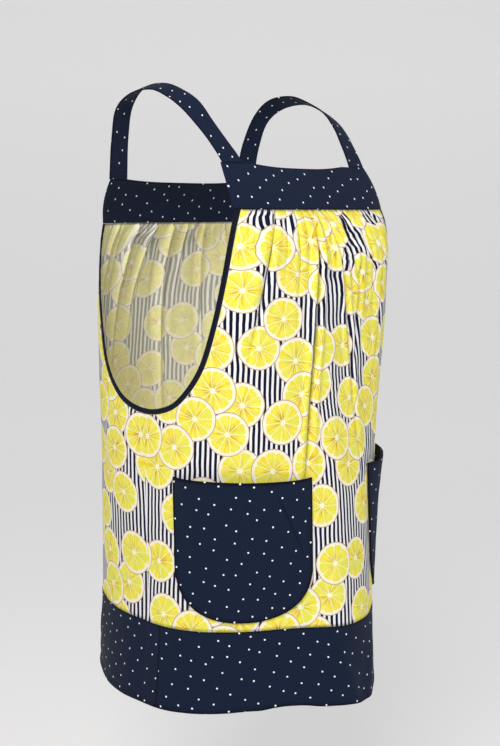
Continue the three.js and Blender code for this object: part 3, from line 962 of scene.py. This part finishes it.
# %% Make the yokes
DOUBLE = 2.0
PROUD = 0.4
EDGE_ROLL = 1.0
ALLOWANCE = 6.0
SEAM_RELIEF = 0.25
SEAM_SHADE = 0.8
YOKE_SWELL = 2.6
YOKE_CLOTH = 400.0
FRONT_YOKE = {"top": -97.0, "bottom": FRONT_BOTTOM, "top_angle": 63.8, "bottom_angle": 56.2, "dip": 4.5}
BACK_YOKE = {"top": -118.0, "bottom": BACK_BOTTOM, "top_angle": 46.0, "bottom_angle": 45.7, "dip": 3.0}


def pressed_seams(down, across, size_down, size_across):
    """Relief of the seam allowances: raised within ALLOWANCE of the edges, sinking over 2 mm more."""
    near = np.minimum(np.minimum(down, 1 - down) * size_down, np.minimum(across, 1 - across) * size_across)
    inside = np.clip((ALLOWANCE + 2 - near) / 2, 0, 1)
    return SEAM_RELIEF * smooth(inside)


def free_middle(s):
    """1 over most of the yoke, falling to 0.6 at its ends, where the armhole's binding holds it."""
    return 1 - 0.4 * np.abs(2 * s - 1) ** 6


def make_yoke(name, size, centre):
    """Yoke between two heights of the form, its ends slanting from the top angle to the bottom angle.

    Half a sine wave from its top to its bottom swells it outwards.
    """
    high = size["top"] - size["bottom"]
    wide = 2 * size["top_angle"] * ARC
    t, s = np.meshgrid(steps(46, high, EDGE_ROLL), steps(220, wide, EDGE_ROLL), indexing="ij")
    turn = (2 * s - 1) * (size["top_angle"] * (1 - t) + size["bottom_angle"] * t)
    free = np.clip(1 - (np.abs(2 * s - 1) / 0.8) ** 4, 0, 1)
    top = size["top"] - size["dip"] * free
    z = top * (1 - t) + size["bottom"] * t
    soft = rumple(turn * ARC, z, (0.35, 34), (0.12, 11), 3)
    relief = pressed_seams(t, s, high, wide) - SEAM_RELIEF
    sheet = on_form(form_angle(turn + centre), z, PROUD + soft * 4 * t * (1 - t) + relief)
    swell = YOKE_SWELL * np.sin(np.pi * t) * free_middle(s)
    sheet[..., 1] -= np.cos(np.radians(centre)) * swell
    round_edge = edge_roundness(t, high, EDGE_ROLL) * edge_roundness(s, wide, EDGE_ROLL)
    length = along(sheet, 1)
    uv = np.stack([length - length[:, -1:] / 2 + YOKE_CLOTH, -z], axis=-1)
    # painted shade: darker navy within about 2 mm of the yoke's top and bottom seams
    painted_shade = SEAM_SHADE * bell(np.minimum(t, 1 - t) * high, 0, 1.6)
    return cloth_shell(name, sheet, DOUBLE, uv, round_edge, dotted_cotton, painted_shade=painted_shade)


yoke_front = make_yoke("yoke_front", FRONT_YOKE, 0)
yoke_back = make_yoke("yoke_back", BACK_YOKE, 180)
print("yoke faces:", len(yoke_front.data.polygons), len(yoke_back.data.polygons))

# %% [markdown]
# ## Gathered panels
# The front and back of the apron are single layers of the lemon print, cut as rectangles with the armholes
# scooped out, and gathered into the yokes. A row of points keeps one height of the form, so the folds show as
# waves across it. Each point's place on the flat cloth is the running length along its row, waves included,
# with most of its steady growth taken out again, so the stripes stay upright, and yet stripes and slices
# vanish into the tucks and fan out below them, as they do on real gathers.

# %% Panel grid
CLOTH = 0.9
BAND_TOP = -693.0
GAP = 0.3
PANEL_COLUMNS = 330
ARMHOLE_ROWS = 84
LOWER_ROWS = 52
BESIDE_EDGE = 0.9994
SIDE_GAP = 0.08
CALM_EDGE = 14.0
SEAM_LIFT = 0.2
SEAM_SLOPE = 0.3
SEAM_SHARE = 0.35
STRAIGHTENED = 0.8
SHADE_FROM = 1
SHADE_OVER = 9
PANEL_CLOTH = (600, 900)


def panel_outline(is_front):
    """Heights of the rows, down from the yoke, and the angle of the panel's edge at each."""
    if is_front:
        at = np.linspace(0, SEAM_ROW, ARMHOLE_ROWS)
    else:
        at = np.linspace(len(ARMHOLE) - 1, SEAM_ROW, ARMHOLE_ROWS)
    angle, z, away_angle, away_z = armhole_line(at)
    heights = z + EDGE_GAP * away_z
    heights[0] = z[0]
    edge = angle + EDGE_GAP * away_angle
    edge[-1] = SIDE_SEAM
    spread = edge if is_front else 180 - edge
    spread[-1] -= SIDE_GAP
    lower = np.linspace(heights[-1], BAND_TOP + GAP, LOWER_ROWS + 1)[1:]
    return np.concatenate([heights, lower]), np.concatenate([spread, np.full(LOWER_ROWS, spread[-1])])


def panel_sheet(is_front, straight):
    """Points of a panel, their places on the flat cloth, and how deep each lies in a fold, from 0 to 1.

    The folds fade out at the sides and near the yoke, where the seam holds them. The grain of the cloth is
    plumb at the angle straight.
    """
    heights, spread = panel_outline(is_front)
    across = np.linspace(-1, 1, PANEL_COLUMNS + 1)
    across[[1, -2]] = [-BESIDE_EDGE, BESIDE_EDGE]
    turn = spread[:, None] * across
    z = np.broadcast_to(heights[:, None], turn.shape)
    bottom = FRONT_BOTTOM if is_front else BACK_BOTTOM
    folds = front_folds if is_front else back_folds
    lift, shift = fold_field(turn, bottom - z, folds)
    edge = smooth(np.clip((spread[:, None] - np.abs(turn)) * ARC / CALM_EDGE, 0, 1))
    free = SEAM_SHARE + (1 - SEAM_SHARE) * np.clip((bottom - z) / 6, 0, 1)
    held = np.minimum(lift, SEAM_LIFT + SEAM_SLOPE * (bottom - z)) * free
    soft = rumple(turn * ARC, z, (0.5, 42), (0.22, 15), 7, 0.3)
    soft = soft * edge * np.clip((bottom - z) / 30, 0, 1)
    centre = 0 if is_front else 180
    angle = form_angle(turn + shift * edge / ARC + centre)
    hang = (front_drape if is_front else back_drape)(angle, z)
    sheet = on_form(angle, z, hang + held * edge + soft)
    length = along(on_form(angle, z, hang + lift * edge + soft), 1)
    column = (straight / spread + 1) / 2 * PANEL_COLUMNS
    whole = column.astype(int)
    row = np.arange(len(spread))
    part = column - whole
    anchor = length[row, whole] * (1 - part) + length[row, whole + 1] * part
    drawn_in = length - anchor[:, None] - (turn - straight) * ARC
    leaning = np.sum(drawn_in * (turn - straight), axis=1) / np.sum((turn - straight) ** 2, axis=1)
    drawn_in -= STRAIGHTENED * leaning[:, None] * (turn - straight)
    uv = np.stack([(turn - straight) * ARC + drawn_in + PANEL_CLOTH[0], z + PANEL_CLOTH[1]], axis=-1)
    # painted shade: how deep the cloth lies in a fold, which darkens the print there as the fold's shade
    depth = np.clip((-lift - SHADE_FROM) / SHADE_OVER, 0, 1) * edge
    return sheet, uv, depth


front_sheet, front_uv, front_depth = panel_sheet(True, -30.0)
back_sheet, back_uv, back_depth = panel_sheet(False, 0.0)
back_uv[..., 0] += front_uv[-1, 0, 0] - back_uv[-1, -1, 0]
even = np.ones(front_sheet.shape[:2])
both_sides = (printed_cotton, printed_back)
panel_front = cloth_shell("panel_front", front_sheet, CLOTH, front_uv, even, *both_sides, front_depth)
panel_back = cloth_shell("panel_back", back_sheet, CLOTH, back_uv, even, *both_sides, back_depth)
print("front panel, square metres of cloth:", round(cloth_area(panel_front), 3))

# %% [markdown]
# ## Hem band
# The deep band at the bottom is dotted cotton, folded double at the hem and seamed at the sides, a little in
# front of the panels' own side seams. It hangs from the panels, so it keeps their drape, and a few slanting
# pulls of its own cross it. Its lower edge is a fold, so it is rounder and thicker than the seam above.

# %% Make the hem bands
BAND = 2.2
BAND_SEAM = 88.0
BAND_OVERLAP = 0.06
BAND_CLOTH = (800, 1105)
# height, distance above the hem and half width, in mm, of the folded edge and of the dip at its stitches
HEM_FOLD = (0.5, 3, 4)
HEM_DIP = (0.4, 11, 3)
# degrees from the centre, lean in degrees for each mm down, half width and height in mm
FRONT_PULLS = [
    (-66, 0.22, 9, 3.2),
    (-40, 0.2, 10, 4),
    (-15, 0.14, 9, 3.6),
    (20, -0.1, 10, 3.6),
    (50, -0.1, 10, 1.8),
]
BACK_PULLS = [(-60, 0.2, 10, 3.5), (-22, -0.16, 13, 4.5), (12, 0.2, 12, 4.2), (48, -0.2, 10, 3.5)]


def pulls(turn, z, table):
    """Slanting soft ridges: each a bell across its own leaning line, fading out towards the seam above."""
    below = BAND_TOP - z
    lift = np.zeros_like(turn)
    for at, lean, width, height in table:
        lift += height * bell((turn - at - lean * below) * ARC / width, 0, 1.6) * np.clip(below / 60, 0, 1)
    return lift


def make_band(name, centre, half_angle, table, seed):
    """Hem band between the seam and the hem, over a half angle either side of its centre.

    Form, drape, pulls, noise, the folded edge and the seam allowance's relief are added up.
    """
    height = BAND_TOP + LENGTH
    roll = BAND / 2
    wide = 2 * half_angle * ARC
    t, s = np.meshgrid(steps(70, height, roll), steps(300, wide, roll), indexing="ij")
    turn = (2 * s - 1) * half_angle
    z = BAND_TOP - height * t
    above_hem = height * (1 - t)
    angle = form_angle(turn + centre)
    ends = np.clip((half_angle - np.abs(turn)) * ARC / 25, 0, 1)
    soft = rumple(turn * ARC, z, (0.45, 38), (0.2, 13), seed, -0.4)
    hemmed = HEM_FOLD[0] * bell(above_hem, *HEM_FOLD[1:]) - HEM_DIP[0] * bell(above_hem, *HEM_DIP[1:])
    relief = pressed_seams(t, s, height, wide) * (t < 0.5) - SEAM_RELIEF
    lift = body_drape(angle, z) + PROUD + (pulls(turn, z, table) + soft) * ends + hemmed + relief
    sheet = on_form(angle, z, lift)
    round_edge = edge_roundness(t, height, roll) * edge_roundness(s, wide, roll)
    length = along(sheet, 1)
    from_middle = length - length[:, [length.shape[1] // 2]]
    uv = np.stack([from_middle + BAND_CLOTH[0] + centre, z + BAND_CLOTH[1]], axis=-1)
    # painted shade: darker navy along the folded hem, under the seam at the top and at the side seams
    painted_shade = bell(above_hem, 0, 4) + 0.7 * bell(height * t, 0, 1.6)
    painted_shade += 0.7 * bell(np.minimum(s, 1 - s) * wide, 0, 1.4)
    return cloth_shell(name, sheet, BAND, uv, round_edge, dotted_cotton, painted_shade=painted_shade)


hem_front = make_band("hem_band_front", 0, BAND_SEAM + BAND_OVERLAP, FRONT_PULLS, 31)
hem_back = make_band("hem_band_back", 180, 180 - BAND_SEAM + BAND_OVERLAP, BACK_PULLS, 33)
print("band faces:", len(hem_front.data.polygons), len(hem_back.data.polygons))

# %% [markdown]
# ## Straps
# Each strap is a doubled strip that goes over a shoulder, from the front yoke to the back one. Its two edges
# follow their own curves, because the shoulder slopes, and the strip between them is a little crowned.

# %% Make the straps
TUCKED = 1.2
STRAP_LONG = 330
STRAP_WIDE = 35
STRETCH = 36
FRONT_STRETCHES = 4
STRAP_CROWN = 0.35
LEVELLED = 0.35
STRAP = {"inner": 107.0, "outer": 142.0, "bow": 15.0, "front": 129.0, "back": 84.0, "drop": 118.0}
# along, out and height of the inner edge, then of the outer one, as shares of the reach, the bow and the drop
STRAP_PATH = np.array(
    [
        (-1.000, 0.000, -0.8186, -0.984, -0.100, -0.8186),
        (-0.818, 0.587, -0.5590, -0.806, 0.253, -0.5760),
        (-0.694, 0.933, -0.3810, -0.702, 0.493, -0.4490),
        (-0.543, 1.033, -0.2030, -0.547, 0.667, -0.2970),
        (-0.333, 1.000, -0.0740, -0.302, 0.667, -0.1400),
        (-0.047, 1.000, 0.0220, -0.078, 0.667, -0.0590),
        (0.429, 0.933, -0.0210, 0.405, 0.600, -0.1100),
        (0.714, 0.767, -0.2030, 0.714, 0.467, -0.2630),
        (0.893, 0.367, -0.5250, 0.857, 0.200, -0.5590),
        (1.000, 0.000, -0.9966, 0.952, 0.000, -0.9966),
    ]
)


def strap_edge(first, x, at):
    """One long edge of a strap as a smooth curve through its path, bowed outwards over the shoulder."""
    reach = np.where(STRAP_PATH[:, first] < 0, STRAP["front"], STRAP["back"])
    scale = np.stack([reach, np.full_like(reach, STRAP["bow"]), np.full_like(reach, STRAP["drop"])], axis=1)
    along_it, out, height = (STRAP_PATH[:, first : first + 3] * scale).T
    return catmull_rom(np.stack([x + out, along_it, height], axis=1), at)


def make_strap(name, side, seed):
    """Strap between its two edges, crowned across, with level ends at the yokes; side is 1 or -1 across X."""
    last = len(STRAP_PATH) - 1
    along_strap = steps(150, STRAP_LONG, EDGE_ROLL) * last
    across = steps(20, STRAP_WIDE, EDGE_ROLL)
    inner = strap_edge(0, STRAP["inner"], along_strap)
    outer = strap_edge(3, STRAP["outer"], along_strap)
    s = across[None, :, None]
    sheet = inner[:, None] * (1 - s) + outer[:, None] * s
    top_front = FRONT_YOKE["top"] - TUCKED
    top_back = BACK_YOKE["top"] - TUCKED
    ends = np.minimum(along_strap, last - along_strap)
    level = np.where(along_strap < FRONT_STRETCHES, top_front, top_back)
    pull = np.clip(1 - ends / LEVELLED, 0, 1)[:, None]
    end = np.where(along_strap[:, None] < FRONT_STRETCHES, sheet[0, :, 2], sheet[-1, :, 2])
    sheet[..., 2] += (level[:, None] - end) * pull
    sheet[..., 0] *= side
    if side < 0:
        sheet = sheet[:, ::-1]
    sheet = sheet[::-1]
    t, u = np.meshgrid(along_strap[::-1], across, indexing="ij")
    crown = STRAP_CROWN * (1 - (2 * u - 1) ** 2) * np.sin(np.pi * t / last)
    soft = 0.3 * uneven(t * STRETCH, u * STRAP_WIDE, 30, seed) + crown
    relief = pressed_seams(np.full_like(u, 0.5), u, STRAP_LONG, STRAP_WIDE) - SEAM_RELIEF
    sheet = sheet - normals_of(sheet) * (soft + relief)[..., None]
    round_edge = edge_roundness(t / last, STRAP_LONG, EDGE_ROLL) * edge_roundness(u, STRAP_WIDE, EDGE_ROLL)
    length = along(sheet, 0)
    uv = np.stack([along(sheet, 1) + 200 + 90 * side, length], axis=-1)
    # painted shade: darker navy along the strap's two long edges
    painted_shade = SEAM_SHADE * bell(np.minimum(u, 1 - u) * STRAP_WIDE, 0, 1.4)
    print("strap, mm long:", round(float(length[-1].mean())))
    flipped = [part[:, ::-1] for part in (sheet, uv, painted_shade)]
    return cloth_shell(name, flipped[0], DOUBLE, flipped[1], round_edge, dotted_cotton, painted_shade=flipped[2])


strap_left = make_strap("strap_over_left", 1, 41)
strap_right = make_strap("strap_over_right", -1, 43)

# %% [markdown]
# ## Patch pockets
# A pocket is a doubled patch with a straight mouth and a round bottom. It is sewn down 4 mm inside its edge,
# so the cloth swells a little inside that line and dips along it, and the mouth stands open and sags. One
# sharp crease, where the cloth was once bent, crosses it.

# %% Make the pockets
POCKET = {"centre": 50.3, "half": 30.0, "top": -490.0, "shoulder": -600.0, "bottom": -680.0, "power": 2.4}
POCKET_FULLNESS = 10.0
POCKET_DIP = 0.5
POCKET_CLEAR = 0.9
STITCH_INSET = 4.0
OPENING_FADE = 2.2
CREASE = 0.9
MOUTH_ROWS = [0, 0.0004, 0.0016, 0.0035, 0.0055]
LAST_ROW = 0.99985
CREASE_START = (0.42, 0.08)
CREASE_END = (0.86, 0.52)


def make_pocket(name, side, seed):
    """Pocket whose width follows a superellipse below its shoulder, lifted off the panel.

    Its fullness is (1 - a^4)(1 - t)^2.2, with a from -1 to 1 across it and t from 0 to 1 down it.
    """
    high = POCKET["top"] - POCKET["bottom"]
    wide = 2 * POCKET["half"] * ARC
    power = POCKET["power"]
    bent = np.sin(np.linspace(0, np.pi / 2, 70))
    down = np.concatenate([MOUTH_ROWS[:-1], MOUTH_ROWS[-1] + (1 - MOUTH_ROWS[-1]) * bent[1:]])
    down[-1] = LAST_ROW
    across = steps(96, wide, EDGE_ROLL)
    t, s = np.meshgrid(down, across, indexing="ij")
    z = POCKET["top"] - high * t
    below = np.clip((POCKET["shoulder"] - z) / (POCKET["shoulder"] - POCKET["bottom"]), 0, 1)
    width = (1 - below**power) ** (1 / power)
    a = 2 * s - 1
    turn = side * POCKET["centre"] + a * POCKET["half"] * width
    opening = (1 - a**4) * (1 - t) ** OPENING_FADE
    x = a * width * wide / 2
    rim = np.abs(x) ** power / (wide / 2) ** power + below**power
    from_edge = np.minimum((1 - rim ** (1 / power)) * wide / 2, 60)
    seam = -0.9 * bell(from_edge, STITCH_INSET, 1.2) + 0.3 * bell(from_edge, 1.8, 1.2)
    run = np.array([CREASE_END[0] - CREASE_START[0], CREASE_END[1] - CREASE_START[1]])
    place = np.stack([(a - CREASE_START[0]), (t - CREASE_START[1])], axis=-1)
    step = np.clip((place @ run) / (run @ run), 0, 1)
    off = np.linalg.norm((place - step[..., None] * run) * np.array([wide / 2, high]), axis=-1)
    fading = np.sin(np.pi * step) ** 0.5
    crease = CREASE * bell(off, 0, 2.2) * fading
    puff = np.clip((from_edge - STITCH_INSET) / 22, 0, 1)
    soft = rumple(x, z, (0.8, 46), (0.25, 16), seed, 0.5)
    angle = np.radians(turn)
    lift = front_drape(angle, z) + DOUBLE + POCKET_CLEAR + POCKET_FULLNESS * opening
    lift = lift + seam + (crease + soft) * puff
    sheet = on_form(angle, z, lift)
    sheet[..., 2] -= POCKET_DIP * (1 - a * a) * bell(z, POCKET["top"], 60)
    edge = edge_roundness(s, wide, EDGE_ROLL)
    edge = edge * np.where(t < 0.5, edge_roundness(np.minimum(t, 0.5), high, EDGE_ROLL), 1)
    uv = np.stack([x + 300 + 500 * side, z + 905], axis=-1)
    edge[-1] = 0
    # painted shade: darker navy round the pocket's edge and mouth, beside the stitching and along the crease
    painted_shade = 1.3 * bell(np.minimum(from_edge, t * high), 0, 3) + 0.4 * bell(from_edge, STITCH_INSET + 2, 1)
    painted_shade += 0.75 * bell(off, 0, 1.5) * fading
    pocket = cloth_shell(name, sheet, DOUBLE, uv, edge, dotted_cotton, painted_shade=painted_shade)
    return pocket, sheet, from_edge


pocket_right, right_sheet, right_rim = make_pocket("patch_pocket_right", -1, 51)
pocket_left, left_sheet, left_rim = make_pocket("patch_pocket_left", 1, 53)
print("pocket faces:", len(pocket_right.data.polygons))

# %% [markdown]
# ## Armhole binding
# A bias strip is folded round the raw edge of each armhole and sewn down. It is a rounded tape, carried along
# the armhole line with the panel's edge as one side, and it puckers slightly where it goes round the U.

# %% Make the bindings
BINDING_WIDTH = 7.0
BINDING_THICKNESS = 2.4
BINDING_STATIONS = 420
SECTION_POINTS = 18
SIDE_POWER = 0.7
FACE_POWER = 0.55
BINDING_SHIFT = 0.15


def binding_line(side):
    """Stations along the armhole: the seam line, the direction across the tape, and the outward one."""
    at = np.linspace(0, len(ARMHOLE) - 1, BINDING_STATIONS)
    angle, z, away_angle, away_z = armhole_line(at)
    away_z[[0, -1]] = 0

    def shifted(by):
        seam = np.radians(angle) * side
        lift = body_drape(seam, z)
        return on_form(np.radians(angle - by * away_angle) * side, z - by * away_z, lift)

    start = shifted(0.0)
    across = shifted(BINDING_WIDTH) - start
    across /= np.linalg.norm(across, axis=1, keepdims=True)
    ahead = np.gradient(start, axis=0)
    out = np.cross(ahead, across)
    out /= np.linalg.norm(out, axis=1, keepdims=True)
    outward = start[:, 0] * out[:, 0] + (start[:, 1] - CENTRE_Y) * out[:, 1]
    out *= np.sign(outward)[:, None]
    return start - out * CLOTH / 2, across, out


def make_binding(name, side, seed):
    """Tape: a superellipse section of the binding's width and thickness, puckering along the way.

    It gives back the piece, and the middle line with its directions and running length.
    """
    start, across, out = binding_line(side)
    turn = np.linspace(0, 2 * np.pi, SECTION_POINTS, endpoint=False)
    flat = np.sign(np.cos(turn)) * np.abs(np.cos(turn)) ** SIDE_POWER * BINDING_WIDTH / 2
    thick = np.sign(np.sin(turn)) * np.abs(np.sin(turn)) ** FACE_POWER * BINDING_THICKNESS / 2
    length = np.concatenate([[0], np.cumsum(np.linalg.norm(np.diff(start, axis=0), axis=1))])
    pucker = 1 + 0.1 * uneven(length, length * 0, 6, seed) + 0.07 * np.sin(length / 1.9)
    middle = start + across * (BINDING_WIDTH / 2 + BINDING_SHIFT)
    wide = flat[None, :, None] * across[:, None]
    deep = thick[None, :, None] * pucker[:, None, None] * out[:, None]
    points = middle[:, None] + wide + deep
    points[0, :, 2] = FRONT_BOTTOM - UNDER_YOKE
    points[-1, :, 2] = BACK_BOTTOM - UNDER_YOKE
    rings = np.arange(points.shape[0] * SECTION_POINTS).reshape(-1, SECTION_POINTS)
    rolled = np.roll(rings, -1, axis=1)
    faces = np.stack([rings[:-1], rolled[:-1], rolled[1:], rings[1:]], axis=-1).reshape(-1, 4)
    caps = []
    for ring, centre in ((rings[0], rings.size), (rings[-1], rings.size + 1)):
        first, second = ring.reshape(-1, 2).T
        corners = [np.full(len(first), centre), first, second, np.roll(first, -1)]
        caps.append(np.stack(corners, axis=-1))
    caps[0] = caps[0][:, ::-1]
    faces = np.concatenate([faces, *caps])
    if side * out[5, 0] < 0 or side > 0:
        faces = faces[:, ::-1]
    centres = np.stack([points[0].mean(axis=0), points[-1].mean(axis=0)])
    far, beside = np.broadcast_arrays(length[:, None], flat + 50)
    uv = np.vstack([np.stack([far, beside], axis=-1).reshape(-1, 2), [[0, 50], [length[-1], 50]]])
    tape = fill_mesh(name, np.vstack([points.reshape(-1, 3), centres]), faces, uv, [bias_binding])
    return tape, (middle, across, out, length)


binding_left, left_line = make_binding("bound_armhole_left", 1, 61)
binding_right, right_line = make_binding("bound_armhole_right", -1, 62)
print("binding, mm round one armhole:", round(float(left_line[3][-1])))

# %% [markdown]
# ## Stitches
# Topstitching is a row of short threads with tiny gaps. One stitch is a six-sided bead, long and low, and it
# is copied along a line by matrix arithmetic: hundreds of them still cost little. They run round the pockets
# and along the edge of each binding that lies at the armhole's seam.

# %% Stitch rows
STITCH_LENGTH = 2.9
STITCH_PITCH = 3.4
THREAD = 0.55
THREAD_FLATNESS = 0.8


def one_stitch():
    """Bead of three rings of six points between two tips: unit length along X, unit width and height."""
    turn = np.linspace(0, 2 * np.pi, 6, endpoint=False)
    ring = np.stack([np.zeros(6), np.cos(turn) / 2, np.sin(turn) / 2], axis=1)
    rings = [ring * [1, k, k] + [x, 0, 0] for x, k in ((-0.38, 0.75), (0.0, 1.0), (0.38, 0.75))]
    points = np.vstack([*rings, [[-0.5, 0, 0]], [[0.5, 0, 0]]])
    i = np.arange(6)
    j = (i + 1) % 6
    sides = [np.stack([i + 6 * k, j + 6 * k, j + 6 * (k + 1), i + 6 * (k + 1)], axis=1) for k in (0, 1)]
    tips = [[18, 2 * k + 2 - 6 * (k == 2), 2 * k + 1, 2 * k] for k in range(3)]
    tips += [[19, 12 + 2 * k, 13 + 2 * k, 12 + (2 * k + 2) % 6] for k in range(3)]
    return points, np.vstack([*sides, tips])


def sew(name, line, out):
    """Row of stitches along a line of points, lying across the given outward directions."""
    far = np.concatenate([[0], np.cumsum(np.linalg.norm(np.diff(line, axis=0), axis=1))])
    at = np.arange(STITCH_PITCH / 2, far[-1] - STITCH_PITCH / 2, STITCH_PITCH)

    def place(where):
        return np.stack([np.interp(where, far, line[:, k]) for k in range(3)], axis=1)

    centre = place(at)
    ahead = place(at + 1) - place(at - 1)
    ahead /= np.linalg.norm(ahead, axis=1, keepdims=True)
    up = np.stack([np.interp(at, far, out[:, k]) for k in range(3)], axis=1)
    aside = np.cross(up, ahead)
    aside /= np.linalg.norm(aside, axis=1, keepdims=True)
    up = np.cross(ahead, aside)
    bead, faces = one_stitch()
    axes = np.stack([ahead * STITCH_LENGTH, aside * THREAD, up * THREAD * THREAD_FLATNESS], axis=1)
    points = np.einsum("pk,nkc->npc", bead, axes) + centre[:, None]
    count = len(bead)
    all_faces = (faces[None] + count * np.arange(len(at))[:, None, None]).reshape(-1, 4)
    uv = np.stack([np.repeat(at, count), np.tile(bead[:, 1], len(at))], axis=1)
    return fill_mesh(name, points.reshape(-1, 3), all_faces, uv, [navy_thread])


def pocket_seam(sheet, rim):
    """Line a stitch inset within the pocket's edge, down one side, round the bottom and up the other."""
    out = normals_of(sheet)
    half = sheet.shape[1] // 2
    rows = np.arange(6, sheet.shape[0] - 1)
    left = np.abs(rim[rows, :half] - STITCH_INSET).argmin(axis=1)
    right = half + np.abs(rim[rows, half:] - STITCH_INSET).argmin(axis=1)
    deep = rim[rows].max(axis=1) > STITCH_INSET + 0.6
    rows, left, right = rows[deep], left[deep], right[deep]
    row = np.concatenate([rows, rows[::-1]])
    column = np.concatenate([left, right[::-1]])
    return sheet[row, column] + out[row, column] * 0.1, out[row, column]


def binding_seam(line):
    """Line on the outside of the tape, near the panel's cloth."""
    middle, across, out = line[:3]
    inner = middle - across * (BINDING_WIDTH / 2 - 1.5)
    return (inner + out * BINDING_THICKNESS * 0.47)[3:-3], out[3:-3]


stitched = [
    sew("pocket_right_stitches", *pocket_seam(right_sheet, right_rim)),
    sew("pocket_left_stitches", *pocket_seam(left_sheet, left_rim)),
    sew("armhole_left_stitches", *binding_seam(left_line)),
    sew("armhole_right_stitches", *binding_seam(right_line)),
]
print("stitch faces:", [len(row.data.polygons) for row in stitched])

# %% [markdown]
# ## Floor, backdrop and light
# A seamless sheet of paper, level below and upright behind, with a wide curve between, keeps the ground pale
# and even. The light is soft: a large source like a window from the wearer's right front, a weaker one from
# the other side, and an even pale sky that fills the shadows. The paper glows faintly, as a backdrop with
# lamps of its own does.

# %% Studio
SHEET_LOW = -1250.0
SHEET_NEAR = -4500.0
SHEET_AWAY = 5600.0
SHEET_HIGH = 4500.0
SHEET_HALF = 6500.0
CURVE = 1800.0


def backdrop_profile():
    """Distance along the view and height of the sheet: level, then a quarter circle, then upright."""
    turn = np.linspace(0, np.pi / 2, 40)
    curve_away = SHEET_AWAY - CURVE + CURVE * np.sin(turn)
    curve_high = SHEET_LOW + CURVE - CURVE * np.cos(turn)
    away = np.concatenate([[SHEET_NEAR], curve_away, [SHEET_AWAY]])
    high = np.concatenate([[SHEET_LOW], curve_high, [SHEET_LOW + SHEET_HIGH]])
    return away, high


def make_backdrop():
    """The profile carried sideways, square to the camera's turn."""
    away, high = backdrop_profile()
    side = np.linspace(-SHEET_HALF, SHEET_HALF, 9)
    a, s = np.meshgrid(away, side, indexing="ij")
    h = np.broadcast_to(high[:, None], a.shape)
    x = a * math.sin(VIEW_TURN) + s * math.cos(VIEW_TURN)
    y = a * math.cos(VIEW_TURN) - s * math.sin(VIEW_TURN)
    index = np.arange(a.size).reshape(a.shape)
    corners = [index[:-1, :-1], index[:-1, 1:], index[1:, 1:], index[1:, :-1]]
    faces = np.stack(corners, axis=-1).reshape(-1, 4)
    points = np.stack([x, y, h], axis=-1).reshape(-1, 3)
    return fill_mesh("studio_sheet", points, faces, points[:, :2], [studio_paper])


studio_paper = bpy.data.materials.new("studio paper")
studio_paper.use_nodes = True
paper_shader = studio_paper.node_tree.nodes["Principled BSDF"]
paper_shader.inputs["Base Color"].default_value = (*paint(236, 234, 230), 1)
paper_shader.inputs["Roughness"].default_value = 0.95
paper_shader.inputs["Emission Color"].default_value = (0.97, 0.97, 1.0, 1)
paper_shader.inputs["Emission Strength"].default_value = 0.28
backdrop = make_backdrop()


def area_light(name, place, aim, size, power, colour):
    """Square soft light at a place, aimed at a point, both in mm."""
    data = bpy.data.lights.new(name, "AREA")
    data.size = size * MM
    data.energy = power
    data.color = colour
    light = bpy.data.objects.new(name, data)
    direction = Vector(aim) - Vector(place)
    light.rotation_euler = direction.to_track_quat("-Z", "Y").to_euler()
    light.location = Vector(place) * MM
    scene.collection.objects.link(light)


APRON_MIDDLE = (0.0, -60.0, -350.0)
area_light("window", (-1500.0, -900.0, 900.0), APRON_MIDDLE, 900.0, 33.0, (1.0, 0.98, 0.95))
area_light("fill", (700.0, -2100.0, 300.0), APRON_MIDDLE, 1600.0, 10.0, (0.96, 0.98, 1.0))
world = bpy.data.worlds.new("pale sky")
world.use_nodes = True
sky = world.node_tree.nodes["Background"]
sky.inputs["Color"].default_value = (0.92, 0.94, 1.0, 1)
sky.inputs["Strength"].default_value = 0.38
scene.world = world

# %% [markdown]
# ## Pieces on the body
# Each piece rides on the one body and stands for its plain solid, which is hidden. For each piece of cloth
# the flat size that it was cut to is printed beside the area of cloth in it.

# %% Ride and replace
both_bindings = [binding_left, binding_right]
# piece, plain solid, slot, flat size in metres, cut area in square metres, how it is held, what goes with it
DRESSED = [
    (yoke_front, "front_yoke", "dotted_cotton", (0.36, 0.056), None, "stretched", []),
    (yoke_back, "back_yoke", "dotted_cotton", (0.34, 0.056), None, "stretched", []),
    (strap_left, "strap_left", "dotted_cotton", (0.035, 0.32), None, "hung", []),
    (strap_right, "strap_right", "dotted_cotton", (0.035, 0.32), None, "hung", []),
    (panel_front, "front_panel", "printed_cotton", (0.62, 0.56), 0.29, "gathered", both_bindings),
    (panel_back, "back_panel", "printed_cotton", (0.62, 0.54), 0.28, "gathered", []),
    (hem_front, "front_hem_band", "dotted_cotton", (0.56, 0.11), None, "hung", []),
    (hem_back, "back_hem_band", "dotted_cotton", (0.69, 0.11), None, "hung", []),
    (pocket_right, "pocket_right", "dotted_cotton", (0.19, 0.19), 0.0335, "hung", []),
    (pocket_left, "pocket_left", "dotted_cotton", (0.19, 0.19), 0.0335, "hung", []),
    (binding_left, "armhole_binding_left", "bias_binding", None, None, None, []),
    (binding_right, "armhole_binding_right", "bias_binding", None, None, None, []),
]
for piece, node, slot, flat, cut, held, along_with in DRESSED:
    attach(piece, "root")
    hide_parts(node)
    if flat:
        print(node, "flat", flat, "cloth", round(cloth_area(piece), 4))
for row in stitched:
    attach(row, "root")
